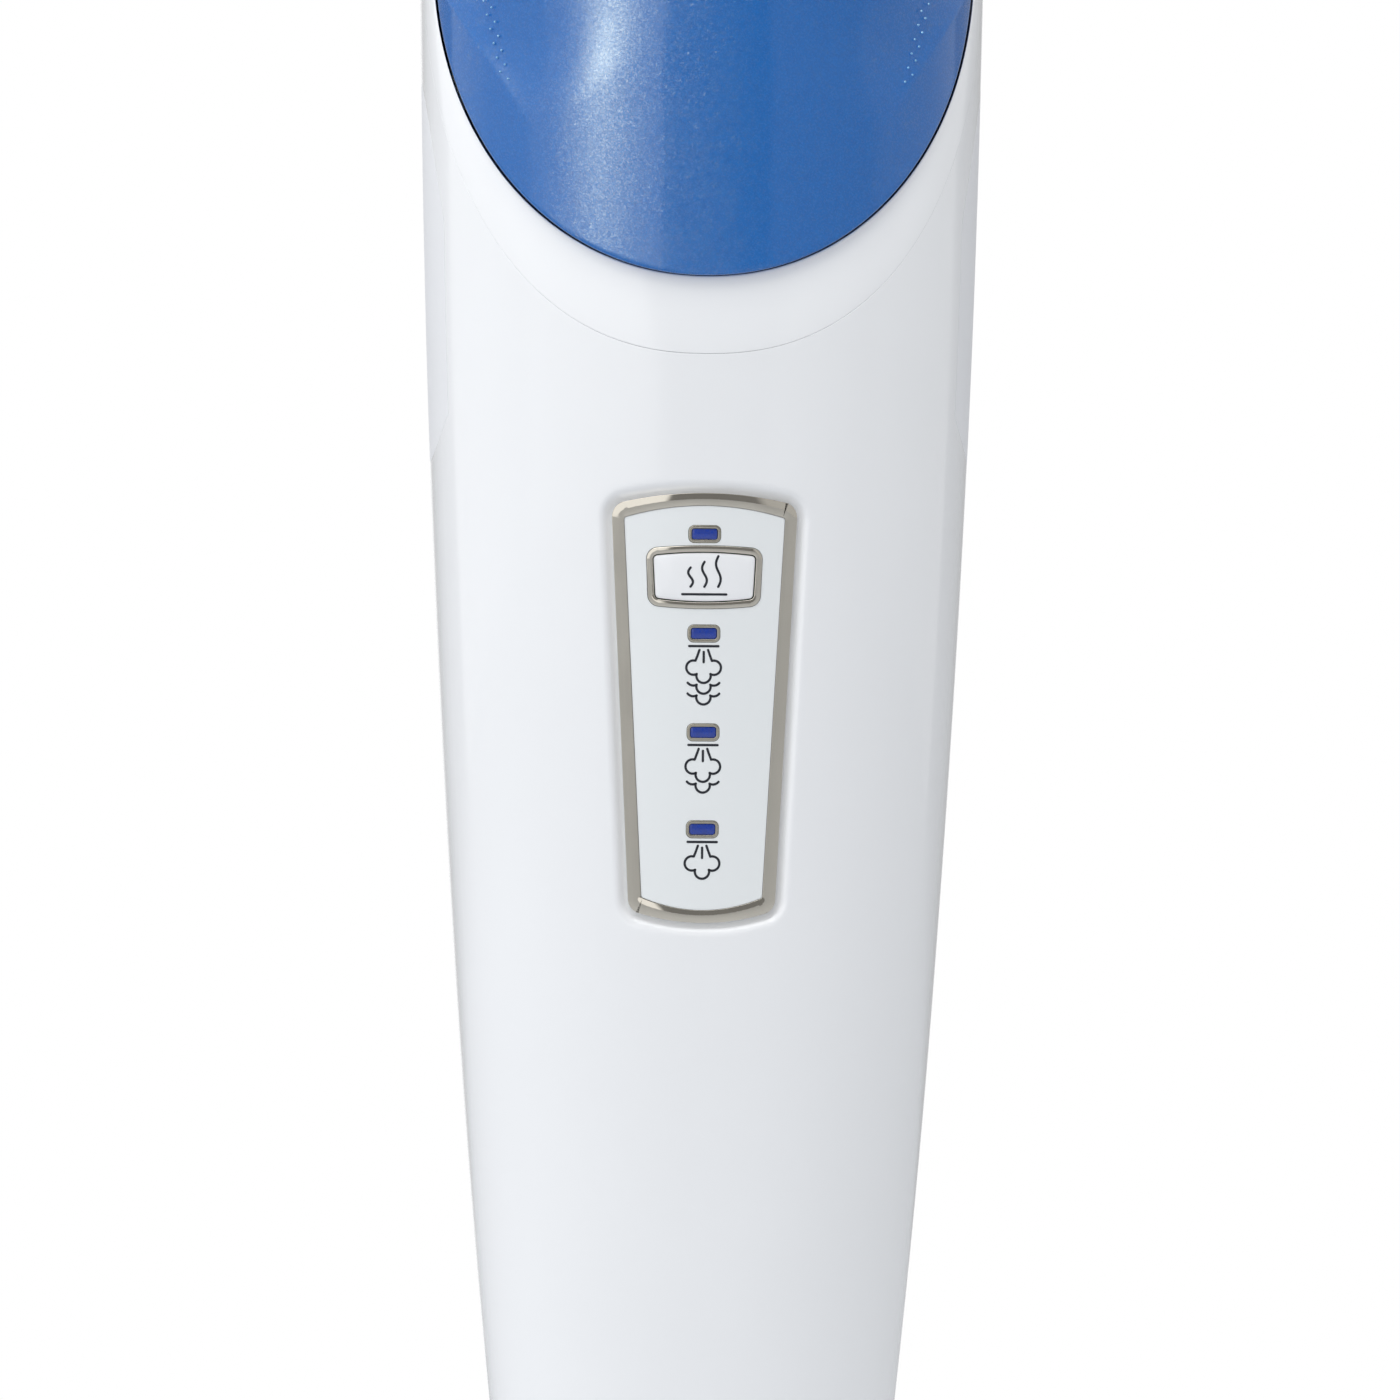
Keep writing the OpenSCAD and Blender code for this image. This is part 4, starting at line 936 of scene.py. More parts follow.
def tank_solid(inset, detailed):
    q = np.linspace(-1, 1, 141)
    share = np.sin(q * math.pi / 2)
    fine_ends = 1 - np.array([0.00004, 0.0002, 0.0006, 0.0014])
    share = np.unique(np.concatenate([share, fine_ends, -fine_ends]))
    bottom = u_height(share * TANK_HALF_W, TANK_HALF_W, TANK_TIP, INNER_RISE, INNER_POWER) + inset
    mid = 578.0
    v = np.concatenate([[0, 0.0008, 0.003, 0.006, 0.011, 0.018, 0.028, 0.04], np.linspace(0.055, 1, 70)])
    low_z = bottom + v[:, None] * (mid - bottom)
    top = TANK_TOP - inset
    high = mid + (top - mid) * (1 - (1 - np.linspace(0, 1, 60)[1:]) ** 1.7)
    z = np.concatenate([low_z, np.repeat(high[:, None], len(share), 1)])
    shares = np.repeat(share[None, :], len(z), 0)
    front = tank_surface(shares, z, inset)
    if detailed:
        slope = np.gradient(bottom) / np.maximum(np.abs(np.gradient(share * TANK_HALF_W)), 1e-6)
        lean = 1 / np.hypot(1, slope)
        gap_low = (z - bottom) * lean
        side = (1 - np.abs(shares)) * TANK_HALF_W * 2.4
        fall = np.maximum(lip(gap_low, 0.6), lip(side, 0.6)) + scallop_depth(front[..., 0], z)
        outward = np.stack([front[..., 0] / HALF_W, front[..., 1] / FRONT_D, 0 * z], -1)
        outward /= np.maximum(np.linalg.norm(outward, axis=-1, keepdims=True), 1e-6)
        front = front - outward * fall[..., None]
    back = front.copy()
    back[..., 1] = TANK_BACK - inset
    front[..., 1] = np.minimum(front[..., 1], TANK_BACK - inset - 0.3)
    return grid_solid(front, back)


DOCK_Y = float(sum(b[1] for b in mm_box("tank_cap")) / 2)


def tank_shell():
    tank = new_object("tank_shell", tank_solid(0, True))
    finish_mesh(tank, 50)
    neck = turned([(0, 489), (11.6, 489), (12, 489.4), (12, 506), (0, 506)], (0, DOCK_Y, 0))
    cut(tank, [neck], "UNION")
    hollow = tank_solid(WALL, False)
    bore = turned([(0, 485), (9.5, 485), (9.5, 508), (0, 508)], (0, DOCK_Y, 0))
    cut(tank, [hollow, bore])
    settle(tank, TANK_BLUE, "tank", ["tank_shell"], 40)
    dots = []
    for side in (-1, 1):
        for column in range(2):
            for k in range(8):
                z = 542 + 3.0 * k + 1.5 * column
                x = side * (41.6 + 0.7 * k + 1.6 * column)
                spot = tank_surface(np.array(x / TANK_HALF_W), np.array(z), 0.0)
                spot[1] += scallop_depth(np.array(x), np.array(z)) * 0.8
                dots.append(turned([(0.02, -0.28), (0.17, -0.22), (0.26, 0), (0.2, 0.3), (0.02, 0.3)],
                                   spot, "y", 10))
    # The dots take the lighter blue, a painted highlight.
    make("tank_grip_dots", joined(*dots), TANK_DOTS_PAINTED_HIGHLIGHT, "tank")


# ---- Panel pieces ----
def panel():
    make("panel_frame", band(panel_outline, band_profile(FRAME_BAND, FRAME_DEPTH, PANEL_BACK, 0.07)),
         CHROME, "housing", ["panel_frame"], 60)
    holes = [led_outline(0.1, up) for up in LED_HEIGHTS] + [button_outline(0.1)]
    make("panel_plate", slab(panel_outline(-FRAME_BAND - 0.1), holes, lambda x, z: PLATE_DEPTH + 0 * x,
                             PANEL_BACK), PANEL, "housing", ["panel_plate"])
    rings, windows = [], []
    for up in LED_HEIGHTS:
        rings.append(band(lambda g, up=up: led_outline(g, up),
                          band_profile(0.6, PLATE_DEPTH - 0.1, PANEL_BACK, 0.1)))
        edge = led_outline(-0.65, up)
        windows.append(slab(edge, [], lambda x, z, edge=edge: PLATE_DEPTH + 0.02
                            + lip(np.abs(edge_distance(edge, np.stack([x, z], 1))), 0.25), 3.6,
                            [led_outline(-0.72, up), led_outline(-0.85, up)], 0.6))
    make("led_frames", joined(*rings), SILVER, "housing", ["led_frames"], 60)
    make("led_windows", joined(*windows), WINDOW_BLUE, "housing", ["led_windows"], 50)
    make("button_ring", band(button_outline, band_profile(BUTTON_BAND, RING_DEPTH, PANEL_BACK, 0.15)),
         CHROME, "housing", ["button_ring"], 60)


def button_depth(x, z):
    """Depth of the button's slightly crowned face."""
    spot = np.stack([np.atleast_1d(x), np.atleast_1d(z)], 1)
    edge = -edge_distance(button_outline(-BUTTON_BAND - 0.2), spot)
    crown = 0.35 * np.exp(-np.maximum(edge, 0) / 1.6)
    return BUTTON_DEPTH + crown + lip(np.maximum(edge, 0), 0.3)


def level_button():
    rim = -BUTTON_BAND - 0.2
    loops = [button_outline(rim - g) for g in (0.06, 0.15, 0.3, 0.7, 1.4)]
    cap = slab(button_outline(rim), [], button_depth, 1.6, loops, 1.0)
    low, high = panel_point(0, BUTTON_UP, 1.2), panel_point(0, BUTTON_UP, 5)
    stem = bar([low, (low + high) / 2, high], 2.5, 24)
    make("level_button", joined(cap, stem), GLOSS, "level_button", ["level_button"], 50)


STROKE = 0.5


def stroke(points, depth, width=STROKE):
    """Printed line on the panel with round ends."""
    points = np.asarray(points, float)
    d = np.gradient(points, axis=0)
    d /= np.linalg.norm(d, axis=1)[:, None]
    n = np.stack([-d[:, 1], d[:, 0]], 1) * width / 2
    cap = np.radians(np.linspace(90, -90, 9)[1:-1])

    def end(centre, forward, across):
        return [centre + across * math.sin(a) + forward * math.cos(a) for a in cap]

    line = np.array(list(points + n) + end(points[-1], d[-1] * width / 2, n[-1])
                    + list((points - n)[::-1]) + end(points[0], -d[0] * width / 2, -n[0]))
    count = len(points)
    total = len(line)
    spot = depth(line[:, 0], line[:, 1])
    front = panel_point(line[:, 0], line[:, 1], spot - 0.04)
    back = panel_point(line[:, 0], line[:, 1], spot + 0.05)
    back_start = count + len(cap)
    strip = [[i, i + 1, back_start + count - 2 - i, back_start + count - 1 - i] for i in range(count - 1)]
    first = [count - 1] + list(range(count, back_start)) + [back_start]
    last = [back_start + count - 1] + list(range(back_start + count, total)) + [0]
    faces = strip + [first, last]
    faces += [[i + total for i in f[::-1]] for f in faces]
    faces += [[(i + 1) % total, i, i + total, (i + 1) % total + total] for i in range(total)]
    return np.concatenate([front, back]), faces


def arc(centre, radius, start, stop, steps=20):
    a = np.radians(np.linspace(start, stop, steps + 1))
    return np.array(centre) + radius * np.stack([np.cos(a), np.sin(a)], 1)


def steam_icon(up, rows):
    """Steam pictogram below a light: a bar, three jets, a cloud and some rows of puffs."""
    lines = [[(-3.05, up - 2.65), (0, up - 2.65), (3.05, up - 2.65)],
             [(0, up - 3.85), (0, up - 4.9), (0, up - 6.0)]]
    lobe_x, lobe_z, low_z, r = 2.13, up - 7.15, up - 8.85, 1.5
    for side in (-1, 1):
        lines.append([(side * 0.9, up - 3.45), (side * 1.3, up - 4.6), (side * 1.72, up - 5.7)])
        lobe = arc((lobe_x, lobe_z), r, -118, 100)
        lines.append(lobe * [side, 1])
    lines.append(arc((0, low_z), r, 168, 372))
    for row in range(1, rows + 1):
        drop = 2.25 * row
        lines.append(arc((0, low_z - drop), r, 168, 372))
        for side in (-1, 1):
            lines.append(arc((lobe_x, lobe_z - drop), r, -118, -38, 8) * [side, 1])
    return [stroke(line, lambda x, z: PLATE_DEPTH + 0 * x) for line in lines]


def icons():
    lines = []
    for up, rows in zip(LED_HEIGHTS[1:], (2, 1, 0)):
        lines += steam_icon(up, rows)
    make("panel_icons", joined(*lines), INK, "housing")
    waves = []
    for i, height in enumerate((4.0, 5.2, 6.4)):
        s = np.linspace(0, 1, 25)
        x = (i - 1) * 2.9 + 0.5 * np.sin(s * 2 * math.pi)
        waves.append(np.stack([x, BUTTON_UP - 2.0 + height * s], 1))
    waves.append(np.array([(-4.6, BUTTON_UP - 3.6), (0, BUTTON_UP - 3.6), (4.6, BUTTON_UP - 3.6)]))
    make("button_icon", joined(*[stroke(w, button_depth) for w in waves]), INK, "level_button")


front_shell()
rear_shell()
tank_collar()
bay_rims()
tank_shell()
panel()
level_button()
icons()
# ---- Head ----
PAD_W, PAD_D, PAD_T, HEAD_POWER = 300.0, 190.0, 9.0, 3.4
DECK_Z, COVER_TOP, NECK_HOLE = 16.0, 38.0, (27.5, 17.0)


def head_outline(inset, steps=240):
    t = np.radians(np.arange(steps) * 360 / steps)
    c, s = sign_pow(np.cos(t), 2 / HEAD_POWER), sign_pow(np.sin(t), 2 / HEAD_POWER)
    return np.stack([(PAD_W / 2 - inset) * c * (1 - 0.03 * s), (PAD_D / 2 - inset) * s], 1)


def head_ring(profile, steps=240):
    """Ring round the head whose section is a closed profile of (inset, z) points."""
    return loft([np.concatenate([head_outline(i, steps), np.full((steps, 1), z)], 1) for i, z in profile],
                join=True)


def pad_inset(points):
    """How far points lie inside the pad's outline, roughly."""
    share = ((np.abs(points[:, 0]) / (PAD_W / 2)) ** HEAD_POWER
             + (np.abs(points[:, 1]) / (PAD_D / 2)) ** HEAD_POWER) ** (1 / HEAD_POWER)
    return (1 - share) * PAD_D / 2


CHANNELS = (-66.0, -33.0, 0.0, 33.0, 66.0)


def mop_pad():
    rings = [(40, 1.0), (12, 0.9), (4.0, 1.1), (1.7, 2.2), (1.3, 3.8), (2.0, 6.0), (4.5, 7.9),
             (12, 8.2), (40, 8.2)]
    start = loft([np.concatenate([head_outline(i, 120), np.full((120, 1), z)], 1) for i, z in rings])
    pad = new_object("mop_pad", start)
    finish_mesh(pad, 180)
    remesh = pad.modifiers.new("remesh", "REMESH")
    remesh.mode = "VOXEL"
    remesh.voxel_size = 3.2 * MM
    apply_modifiers(pad)
    rest = np.empty(len(pad.data.vertices) * 3)
    pad.data.vertices.foreach_get("co", rest)
    rest = rest.reshape(-1, 3) / MM
    cloth = pad.modifiers.new("stuffing", "CLOTH")
    cloth.settings.use_pressure = True
    cloth.settings.uniform_pressure_force = 3
    cloth.settings.effector_weights.gravity = 0
    cloth.settings.tension_stiffness = 20
    cloth.settings.quality = 4
    cloth.point_cache.frame_end = 16
    for k in range(1, 17):
        bpy.context.scene.frame_set(k)
    apply_modifiers(pad)
    bpy.context.scene.frame_set(1)
    now = np.empty(len(pad.data.vertices) * 3)
    pad.data.vertices.foreach_get("co", now)
    now = now.reshape(-1, 3) / MM
    move = now - rest
    length = np.linalg.norm(move, axis=1, keepdims=True)
    now = rest + move * np.minimum(1, 1.6 / np.maximum(length, 1e-6))
    pad.data.vertices.foreach_set("co", (now * MM).ravel())
    smoother = pad.modifiers.new("smooth", "SUBSURF")
    smoother.levels = smoother.render_levels = 1
    apply_modifiers(pad)
    co = np.empty(len(pad.data.vertices) * 3)
    pad.data.vertices.foreach_get("co", co)
    co = co.reshape(-1, 3) / MM
    deep = pad_inset(co)
    upper = co[:, 2] > PAD_T / 2
    seam = np.min([np.abs(co[:, 1] - c) for c in CHANNELS], axis=0)
    quilt = 1.1 * np.exp(-(seam / 2.4) ** 2) * smooth((deep - 9) / 6)
    rng = np.random.default_rng(7)
    waves = sum(np.sin(co[:, 0] * fx + co[:, 1] * fy + p) for fx, fy, p in
                zip(rng.uniform(-0.5, 0.5, 6), rng.uniform(-0.5, 0.5, 6), rng.uniform(0, 6, 6))) / 6
    top = np.minimum(8.75 - 0.5 * smooth((6 - deep) / 4) + 0.15 * waves, 8.9)
    bottom = 0.05 + quilt + 0.2 * (1 + waves) * smooth((10 - deep) / 10)
    z = np.where(upper, np.minimum(co[:, 2], top), np.maximum(co[:, 2] - 0.9, bottom))
    co[:, 2] = z
    pad.data.vertices.foreach_set("co", (co * MM).ravel())
    settle(pad, PAD, "head", ["mop_pad"], 180)
    tape = [(7, 8.75), (4, 8.95), (2, 8.85), (0.7, 8.1), (0.2, 7), (0.1, 5.8), (0.25, 5.1),
            (0.9, 5.0), (1.2, 5.5), (1.3, 6.6), (1.9, 7.6), (3.4, 8.3), (7, 8.3)]
    make("pad_binding", head_ring(tape, 360), BINDING, "head", sharp=180)
    line = head_outline(5.6, 480)
    stitches = []
    for k in range(0, 480, 3):
        a, b = line[k], line[(k + 2) % 480]
        points = [(*a, 8.85), (*(a * 0.75 + b * 0.25), 9.0), (*(a * 0.25 + b * 0.75), 9.0), (*b, 8.85)]
        stitches.append(bar(points, 0.22, 6))
    make("pad_stitches", joined(*stitches), PAD, "head", sharp=180)


def head_pieces():
    bumper = [(6.6, 12.1), (4.4, 12.0), (3.8, 12.3), (3.55, 13.0), (3.5, 14.3), (3.75, 14.7), (3.75, 15.1),
              (3.5, 15.5), (3.5, 17.6), (3.7, 18.4), (4.3, 18.9), (5.2, 19.0), (6.2, 18.8), (6.7, 18.2),
              (6.7, 12.8)]
    make("head_bumper", head_ring(bumper), BUMPER, "head", ["head_bumper"], 180)
    softened("head_base_plate", 0.6)
    steps = 192
    t = np.radians(np.arange(steps) * 360 / steps)
    share = np.concatenate([[0, 0.004, 0.012, 0.025, 0.045], np.linspace(0.07, 0.985, 44),
                            [0.992, 0.997, 1.0]])

    def surface(drop):
        rim = head_outline(7 + drop, steps)
        hole = np.stack([(NECK_HOLE[0] + drop) * sign_pow(np.cos(t), 2 / 5),
                         (NECK_HOLE[1] + drop) * sign_pow(np.sin(t), 2 / 5)], 1)
        rows = []
        for z in ([12, 12.4, 14, 16] if drop == 0 else [12, 12.4, 14, 15]):
            rows.append(np.concatenate([rim, np.full((steps, 1), z)], 1))
        for v in share:
            rise = 1 - (1 - v) ** 2.3
            flat = rim * (1 - v) + hole * v
            groove = 0.5 * np.exp(-((v - 0.2) / 0.012) ** 2) if drop == 0 else 0
            edge = lip((1 - v) * 60, 1.2) if drop == 0 else 0
            z = DECK_Z + 1 + (COVER_TOP - DECK_Z - 1) * rise - drop * (v > 0) - groove - edge
            rows.append(np.concatenate([flat, np.full((steps, 1), z)], 1))
        return np.array(rows)

    make("head_cover", grid_solid(surface(0), surface(2.2), wrap=True), GLOSS, "head",
         ["head_cover"], 40)
    softened("pivot_block", 1.0, segments=3)
    softened("pitch_pin", 0.4, ALUMINIUM)


def neck_pieces():
    softened("neck_yoke", 1.2, segments=3)
    low, high = mm_box("neck_cover_front")[0][2], mm_box("neck_cover_front")[1][2]
    z = spread(low, high, 1.1)
    for node, side in (("neck_cover_front", -1), ("neck_cover_rear", 1)):
        t = np.radians(np.concatenate([[0, 0.6, 1.6, 3, 5], np.linspace(8, 172, 60),
                                       [175, 177, 178.4, 179.4, 180]]))
        waist = 1.9 * np.sin(np.clip((z - low) / (high - low), 0, 1) * math.pi) ** 1.5
        groove = sum(0.5 * np.exp(-((z - low - g) / 0.5) ** 2) for g in (17, 21, 25))
        inset = np.maximum(lip(z - low, 1.4), lip(high - z, 1.4)) + waist + groove
        inset = inset[:, None] + lip(np.minimum(t, math.pi - t) * 17, 0.25)[None, :]
        zz = np.repeat(z[:, None], len(t), 1)
        outer = np.stack([(17 - inset) * sign_pow(np.cos(t), 0.8),
                          side * (0.1 + (17.5 - inset) * np.sin(t) ** 0.8), zz], -1)
        across = np.clip(12.4 * np.cos(t) * 1.25, -11.3, 11.3)
        deep = np.clip(0.1 + 11.1 * np.sin(t) * 1.5, 0.1, 11.2)
        inner = np.stack([across + 0 * zz, side * deep + 0 * zz, zz], -1)
        make(node, grid_solid(outer, inner), GLOSS, "neck", [node], 40)
    softened("swivel_bracket", 1.0, segments=3)
    softened("swivel_pin", 0.4, ALUMINIUM)


# ---- Top of the body and handle ----
TUBE_Y = 18.0


def top_cover():
    low, high = mm_box("top_cover")[0][2], mm_box("top_cover")[1][2]
    rings = []
    t = np.radians(np.arange(128) * 360 / 128)
    heights = spread(low, high, 1.6)
    for z in heights:
        s = np.clip((z - low) / (high - low), 0, 1)
        blend = 1 - (1 - s) ** 2
        inset = max(float(lip(z - low, 0.5)), float(lip(high - z, 1.6)))
        w = 56 * (1 - blend) + 19.5 * blend - inset
        rear = 42.5 * (1 - blend) + 36 * blend
        middle = (rear - 1.8) / 2
        y = middle - (middle + 1.4 - inset) * sign_pow(np.cos(t), 0.85)
        rings.append(np.stack([w * sign_pow(np.sin(t), 0.85), y, 0 * t + z], 1))
    obj = new_object("top_cover", loft(rings))
    finish_mesh(obj, 50)
    hole = turned([(0, low - 5), (14.2, low - 5), (14.2, high - 0.5), (15, high + 0.6), (15, high + 3),
                   (0, high + 3)], (0, TUBE_Y, 0), sides=96)
    snap = turned([(0, 20), (4.3, 20), (4.3, 60), (0, 60)], (0, 0, SNAP_Z), "y")
    cut(obj, [hole, snap])
    settle(obj, SATIN, "housing", ["top_cover"], 40)


LOOP_Y, LOOP_HALF_D, LOOP_HALF_H, LOOP_POWER = 18.0, 38.0, 75.0, 2.5
GRIP_N, GRIP_X = 13.0, 15.0
LOOP_Z = mm_box("grip_left")[1][2] - GRIP_N - LOOP_HALF_H
SOCKET_Z = LOOP_Z - LOOP_HALF_H - 42
TRIGGER_Z, TRIGGER_Y = LOOP_Z + 18, LOOP_Y + LOOP_HALF_D - 8


def loop_point(t):
    t = np.radians(t)
    return np.stack([0 * t, LOOP_Y + LOOP_HALF_D * sign_pow(np.cos(t), 2 / LOOP_POWER),
                     LOOP_Z + LOOP_HALF_H * sign_pow(np.sin(t), 2 / LOOP_POWER)], -1)


def grip_point(t, a, inset):
    """Point on the handle loop at angle t along it and a round its section, both in degrees."""
    t, a, inset = np.broadcast_arrays(np.asarray(t, float), a, inset)
    d = loop_point(t + 0.7) - loop_point(t - 0.7)
    d /= np.linalg.norm(d, axis=-1, keepdims=True)
    out = np.stack([0 * t, d[..., 2], -d[..., 1]], -1)
    a = np.radians(a)
    return (loop_point(t) + out * ((GRIP_N - inset) * np.cos(a))[..., None]
            + np.stack([(GRIP_X - inset) * np.sin(a), 0 * a, 0 * a], -1))


def loop_angles(count):
    """Angles that lie evenly along the handle loop."""
    t = np.linspace(0, 360, 4001)
    arc_length = np.concatenate([[0], np.cumsum(np.linalg.norm(np.diff(loop_point(t), axis=0), axis=1))])
    return np.interp(np.arange(count) / count * arc_length[-1], arc_length, t)


def grips():
    t = loop_angles(150)
    a = np.concatenate([[0, 0.8, 2, 4], np.linspace(8, 172, 26), [176, 178, 179.2, 180]])
    seam = lip(np.radians(np.minimum(a, 180 - a)) * 14, 0.3)[:, None]
    for node, side in (("grip_left", -1), ("grip_right", 1)):
        outer = grip_point(t[None, :], side * a[:, None], seam)
        inner = grip_point(t[None, :], side * a[:, None], WALL)
        grip = new_object(node, grid_solid(outer, inner, wrap=True))
        finish_mesh(grip, 40)
        socket = turned([(0, SOCKET_Z), (17.2, SOCKET_Z), (17.8, SOCKET_Z + 0.8), (18, SOCKET_Z + 3),
                         (17.6, SOCKET_Z + 14), (17.2, SOCKET_Z + 36), (0, SOCKET_Z + 36)],
                        (0, TUBE_Y, 0), sides=64)
        x0, x1 = (-60, -0.08) if side < 0 else (0.08, 60)
        keep = loft([[(x, -60, z) for x in (x0, x1)] + [(x, 100, z) for x in (x1, x0)]
                     for z in (SOCKET_Z - 5, LOOP_Z + 120)])
        holes = [turned([(0, SOCKET_Z - 2), (14.05, SOCKET_Z - 2), (14.05, SOCKET_Z + 40),
                         (0, SOCKET_Z + 40)],
                        (0, TUBE_Y, 0), sides=64),
                 turned([(0, SOCKET_Z + 30), (9, SOCKET_Z + 30), (9, SOCKET_Z + 55), (0, SOCKET_Z + 55)],
                        (0, TUBE_Y, 0)),
                 loft([[(-6.5, 30, z), (6.5, 30, z), (6.5, 50, z), (-6.5, 50, z)]
                       for z in (TRIGGER_Z - 40, TRIGGER_Z + 8)]),
                 turned([(0, -8.2), (2.05, -8.2), (2.05, 8.2), (0, 8.2)], (0, TRIGGER_Y, TRIGGER_Z), "x")]
        way = Vector((0, math.sin(math.radians(130)), math.cos(math.radians(130))))
        middle = np.array([0, LOOP_Y + 26, LOOP_Z - LOOP_HALF_H + 12])
        holes.append(bar([middle - np.array(way) * 15, middle, middle + np.array(way) * 15], 6.1, 48))
        cut(grip, [socket], "UNION")
        cut(grip, [keep], "INTERSECT")
        cut(grip, holes)
        settle(grip, SATIN, "housing", [node], 40)


def soft_grip():
    rows = np.concatenate([np.linspace(-5, -4.85, 6), np.linspace(-4.8, 4.8, 190), np.linspace(4.85, 5, 6)])
    cols = np.concatenate([np.linspace(3, 2.95, 6), np.linspace(2.9, -2.9, 50), np.linspace(-2.95, -3, 6)])
    r, c = np.meshgrid(rows, cols, indexing="ij")
    edge = np.minimum((5 - np.abs(r)) * 14, (3 - np.abs(c)) * 6)
    ribs = 0.35 * (0.5 - 0.5 * np.cos(r * 2 * math.pi * 2.6)) ** 3 * smooth((edge - 2.5) / 2)
    lift = 1.5 - lip(edge, 1.0) * 0.9 - ribs
    outer = grip_point(360 * r / 44, 180 * c / 7, -lift)
    inner = grip_point(360 * r / 44, 180 * c / 7, -0.1 + 0 * r)
    make("soft_grip", grid_solid(outer, inner), BLACK_GRIP, "housing", ["soft_grip"], 60)


def small_pieces():
    softened("handle_tube", 0.3, PAINTED_TUBE)
    for node, width in (("snap_button", 0.8), ("steam_trigger", 1.2), ("cord_gland", 0.8),
                        ("hook_clamp", 1.0),
                        ("upper_cord_hook", 1.3), ("lower_cord_hook", 1.3), ("tank_cap", 0.35),
                        ("tank_bay", 0.5), ("trigger_pin", 0.3), ("chassis", 0.5), ("boiler", 1.0),
                        ("pump_body", 0.8), ("dock_seal", 0.3)):
        softened(node, width, segments=3 if width > 0.9 else 2)
    screws = []
    for h in SCREW_HEIGHTS:
        rear = float(rear_d(h))
        for turn in (0, 1):
            w, d = (2.1, 0.35) if turn else (0.35, 2.1)
            screws.append(loft([[(-w, y, h - d), (w, y, h - d), (w, y, h + d), (-w, y, h + d)]
                                for y in (rear - 0.6, rear + 2)]))
    softened("shell_screws", 0.25, cuts=screws)


mop_pad()
head_pieces()
neck_pieces()
top_cover()
grips()
soft_grip()
small_pieces()


# ---- Light and floor ----
# Brightness of the studio round the object: angle from the front in degrees, level
STUDIO_BANDS = [(-180, 1.0), (-175, 1.0), (-168, 0.42), (-125, 0.34), (-123, 0.95), (-62, 1.0), (-60, 1.3),
                (-8.5, 1.3), (-7, 0.25), (16, 0.25), (17.5, 0.62), (60, 0.62), (62, 0.8), (123, 0.8),
                (125, 0.34), (168, 0.42), (175, 1.0), (180, 1.0)]
STUDIO_PEAK = 1.5
STRIP_AWAY = 2.5     # metres from the object's axis
STRIP_ANGLE = -28
FLOOR_RADIUS = 6500
FLOOR_STEPS = 96


def area_light(name, size, energy, place, aim):
    lamp = bpy.data.lights.new(name, "AREA")
    lamp.shape = "RECTANGLE" if len(size) == 2 else "DISK"
    lamp.size = size[0]
    if len(size) == 2:
        lamp.size_y = size[1]
    lamp.energy = energy
    obj = bpy.data.objects.new(name, lamp)
    obj.location = place
    obj.rotation_euler = (Vector(aim) - Vector(obj.location)).to_track_quat("-Z", "Y").to_euler()
    bpy.context.scene.collection.objects.link(obj)
    return obj


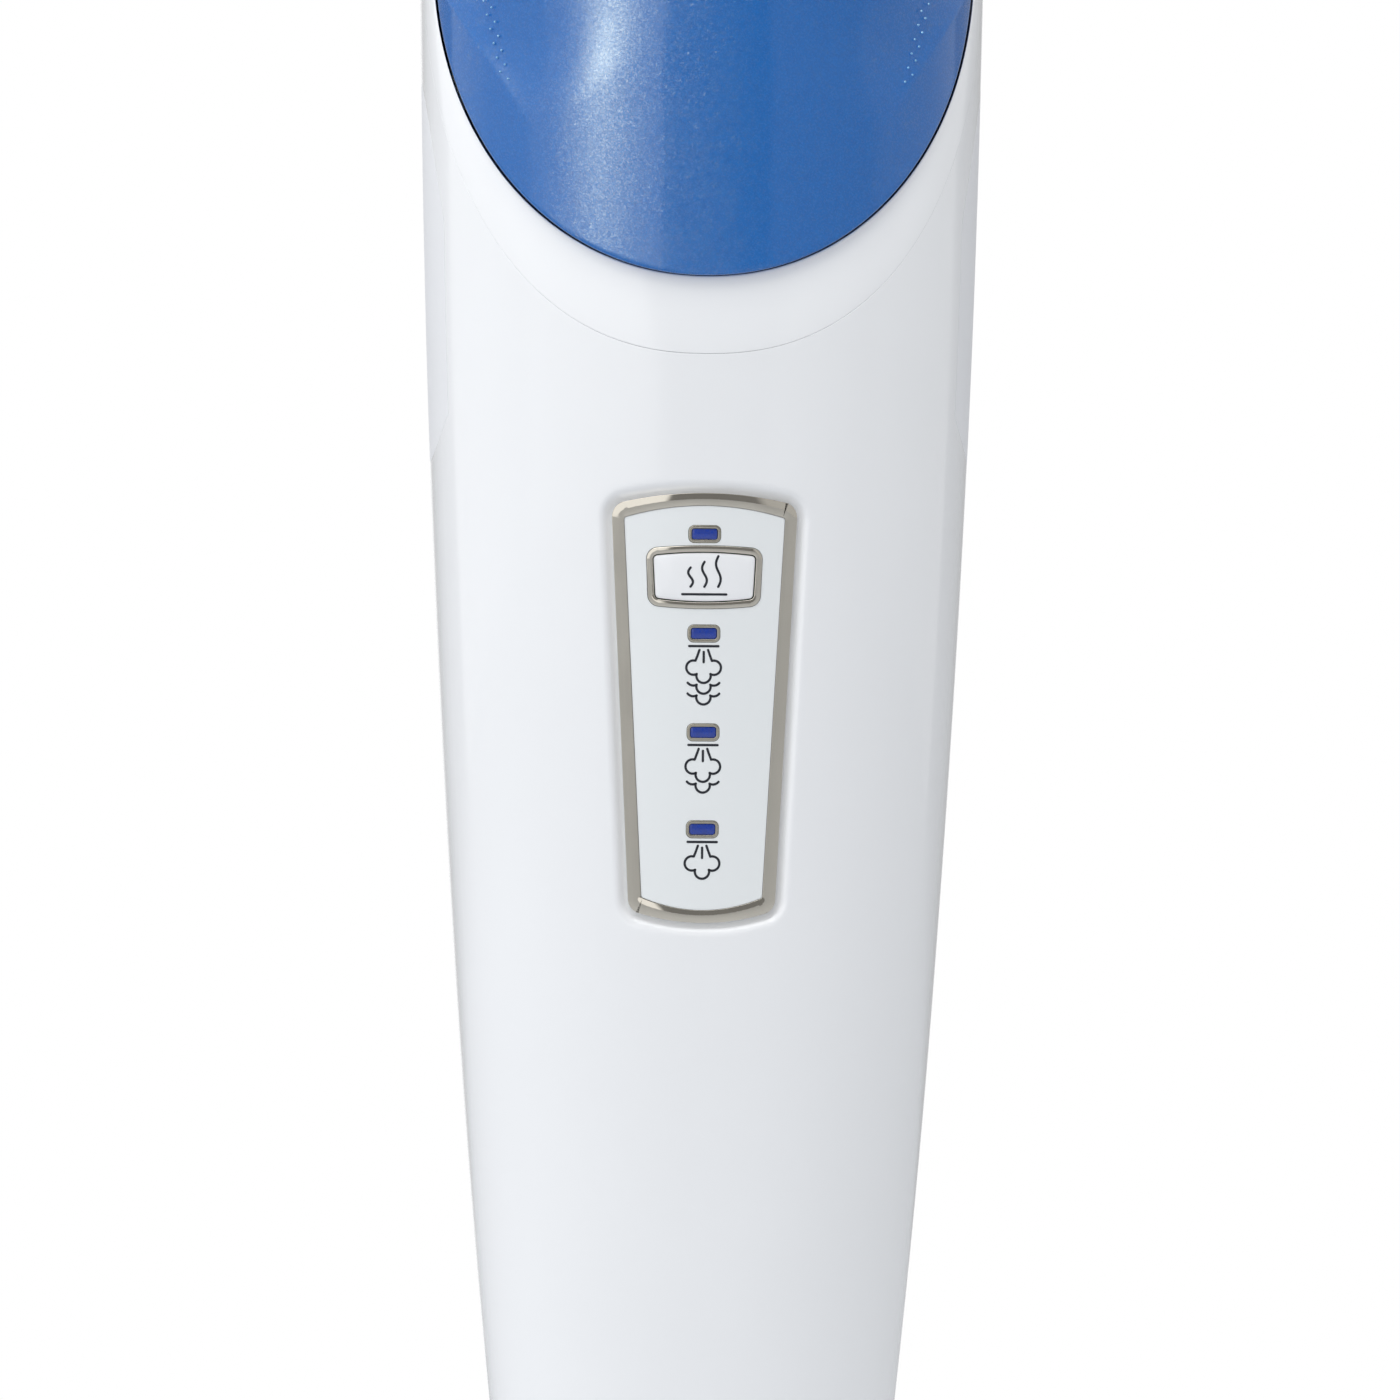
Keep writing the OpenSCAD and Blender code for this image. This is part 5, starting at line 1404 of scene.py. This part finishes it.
def make_light():
    world = bpy.data.worlds.new("studio")
    bpy.context.scene.world = world
    world.use_nodes = True
    tree = world.node_tree
    tree.nodes.clear()
    place = tree.nodes.new("ShaderNodeTexCoord")
    split = tree.nodes.new("ShaderNodeSeparateXYZ")
    tree.links.new(place.outputs["Generated"], split.inputs[0])
    back = tree.nodes.new("ShaderNodeMath")
    back.operation = "MULTIPLY"
    back.inputs[1].default_value = -1
    tree.links.new(split.outputs["Y"], back.inputs[0])
    turn = tree.nodes.new("ShaderNodeMath")
    turn.operation = "ARCTAN2"
    tree.links.new(split.outputs["X"], turn.inputs[0])
    tree.links.new(back.outputs[0], turn.inputs[1])
    share = tree.nodes.new("ShaderNodeMapRange")
    share.inputs["From Min"].default_value = -math.pi
    share.inputs["From Max"].default_value = math.pi
    tree.links.new(turn.outputs[0], share.inputs["Value"])
    ramp = tree.nodes.new("ShaderNodeValToRGB")
    tree.links.new(share.outputs["Result"], ramp.inputs["Fac"])
    while len(ramp.color_ramp.elements) > 1:
        ramp.color_ramp.elements.remove(ramp.color_ramp.elements[-1])
    for i, (angle, level) in enumerate(STUDIO_BANDS):
        at = (angle + 180) / 360
        element = ramp.color_ramp.elements[0] if i == 0 else ramp.color_ramp.elements.new(at)
        element.position = at
        element.color = (level / STUDIO_PEAK, level / STUDIO_PEAK, level / STUDIO_PEAK, 1)
    light = tree.nodes.new("ShaderNodeBackground")
    tree.links.new(ramp.outputs["Color"], light.inputs["Color"])
    light.inputs["Strength"].default_value = STUDIO_PEAK
    out = tree.nodes.new("ShaderNodeOutputWorld")
    tree.links.new(light.outputs[0], out.inputs["Surface"])

    area_light("top_light", (2.6,), 40, (-0.6, -0.8, 3.2), (0, 0, 0.5))
    turn_to = math.radians(STRIP_ANGLE)
    side = area_light("tank_strip", (0.5, 1.1), 400,
                      (STRIP_AWAY * math.sin(turn_to), -STRIP_AWAY * math.cos(turn_to), 1.35), (0, 0, 0.62))
    side.data.color = (0.92, 1.0, 0.8)
    side.visible_camera = False
    side.visible_diffuse = False
    lit = bpy.data.collections.new("tank_strip_lights")
    for obj in (bpy.data.objects["tank_shell_visual"], bpy.data.objects["tank_grip_dots"]):
        lit.objects.link(obj)
    side.light_linking.receiver_collection = lit
    bpy.context.scene.view_settings.view_transform = "Standard"

    turns = [2 * math.pi * k / FLOOR_STEPS for k in range(FLOOR_STEPS)]
    rim = [(FLOOR_RADIUS * math.cos(a), FLOOR_RADIUS * math.sin(a), 0) for a in turns]
    floor = new_object("floor", (rim, [list(range(FLOOR_STEPS))]))
    s = Surface("floor_paper")
    s.link(s.mix(s.span(s.noise(3, 4), 0, 1), linear(214, 216, 219), linear(220, 222, 225)), "Base Color")
    s.set(Roughness=0.7, Specular_IOR_Level=0.2)
    floor.data.materials.append(s.material)


make_light()
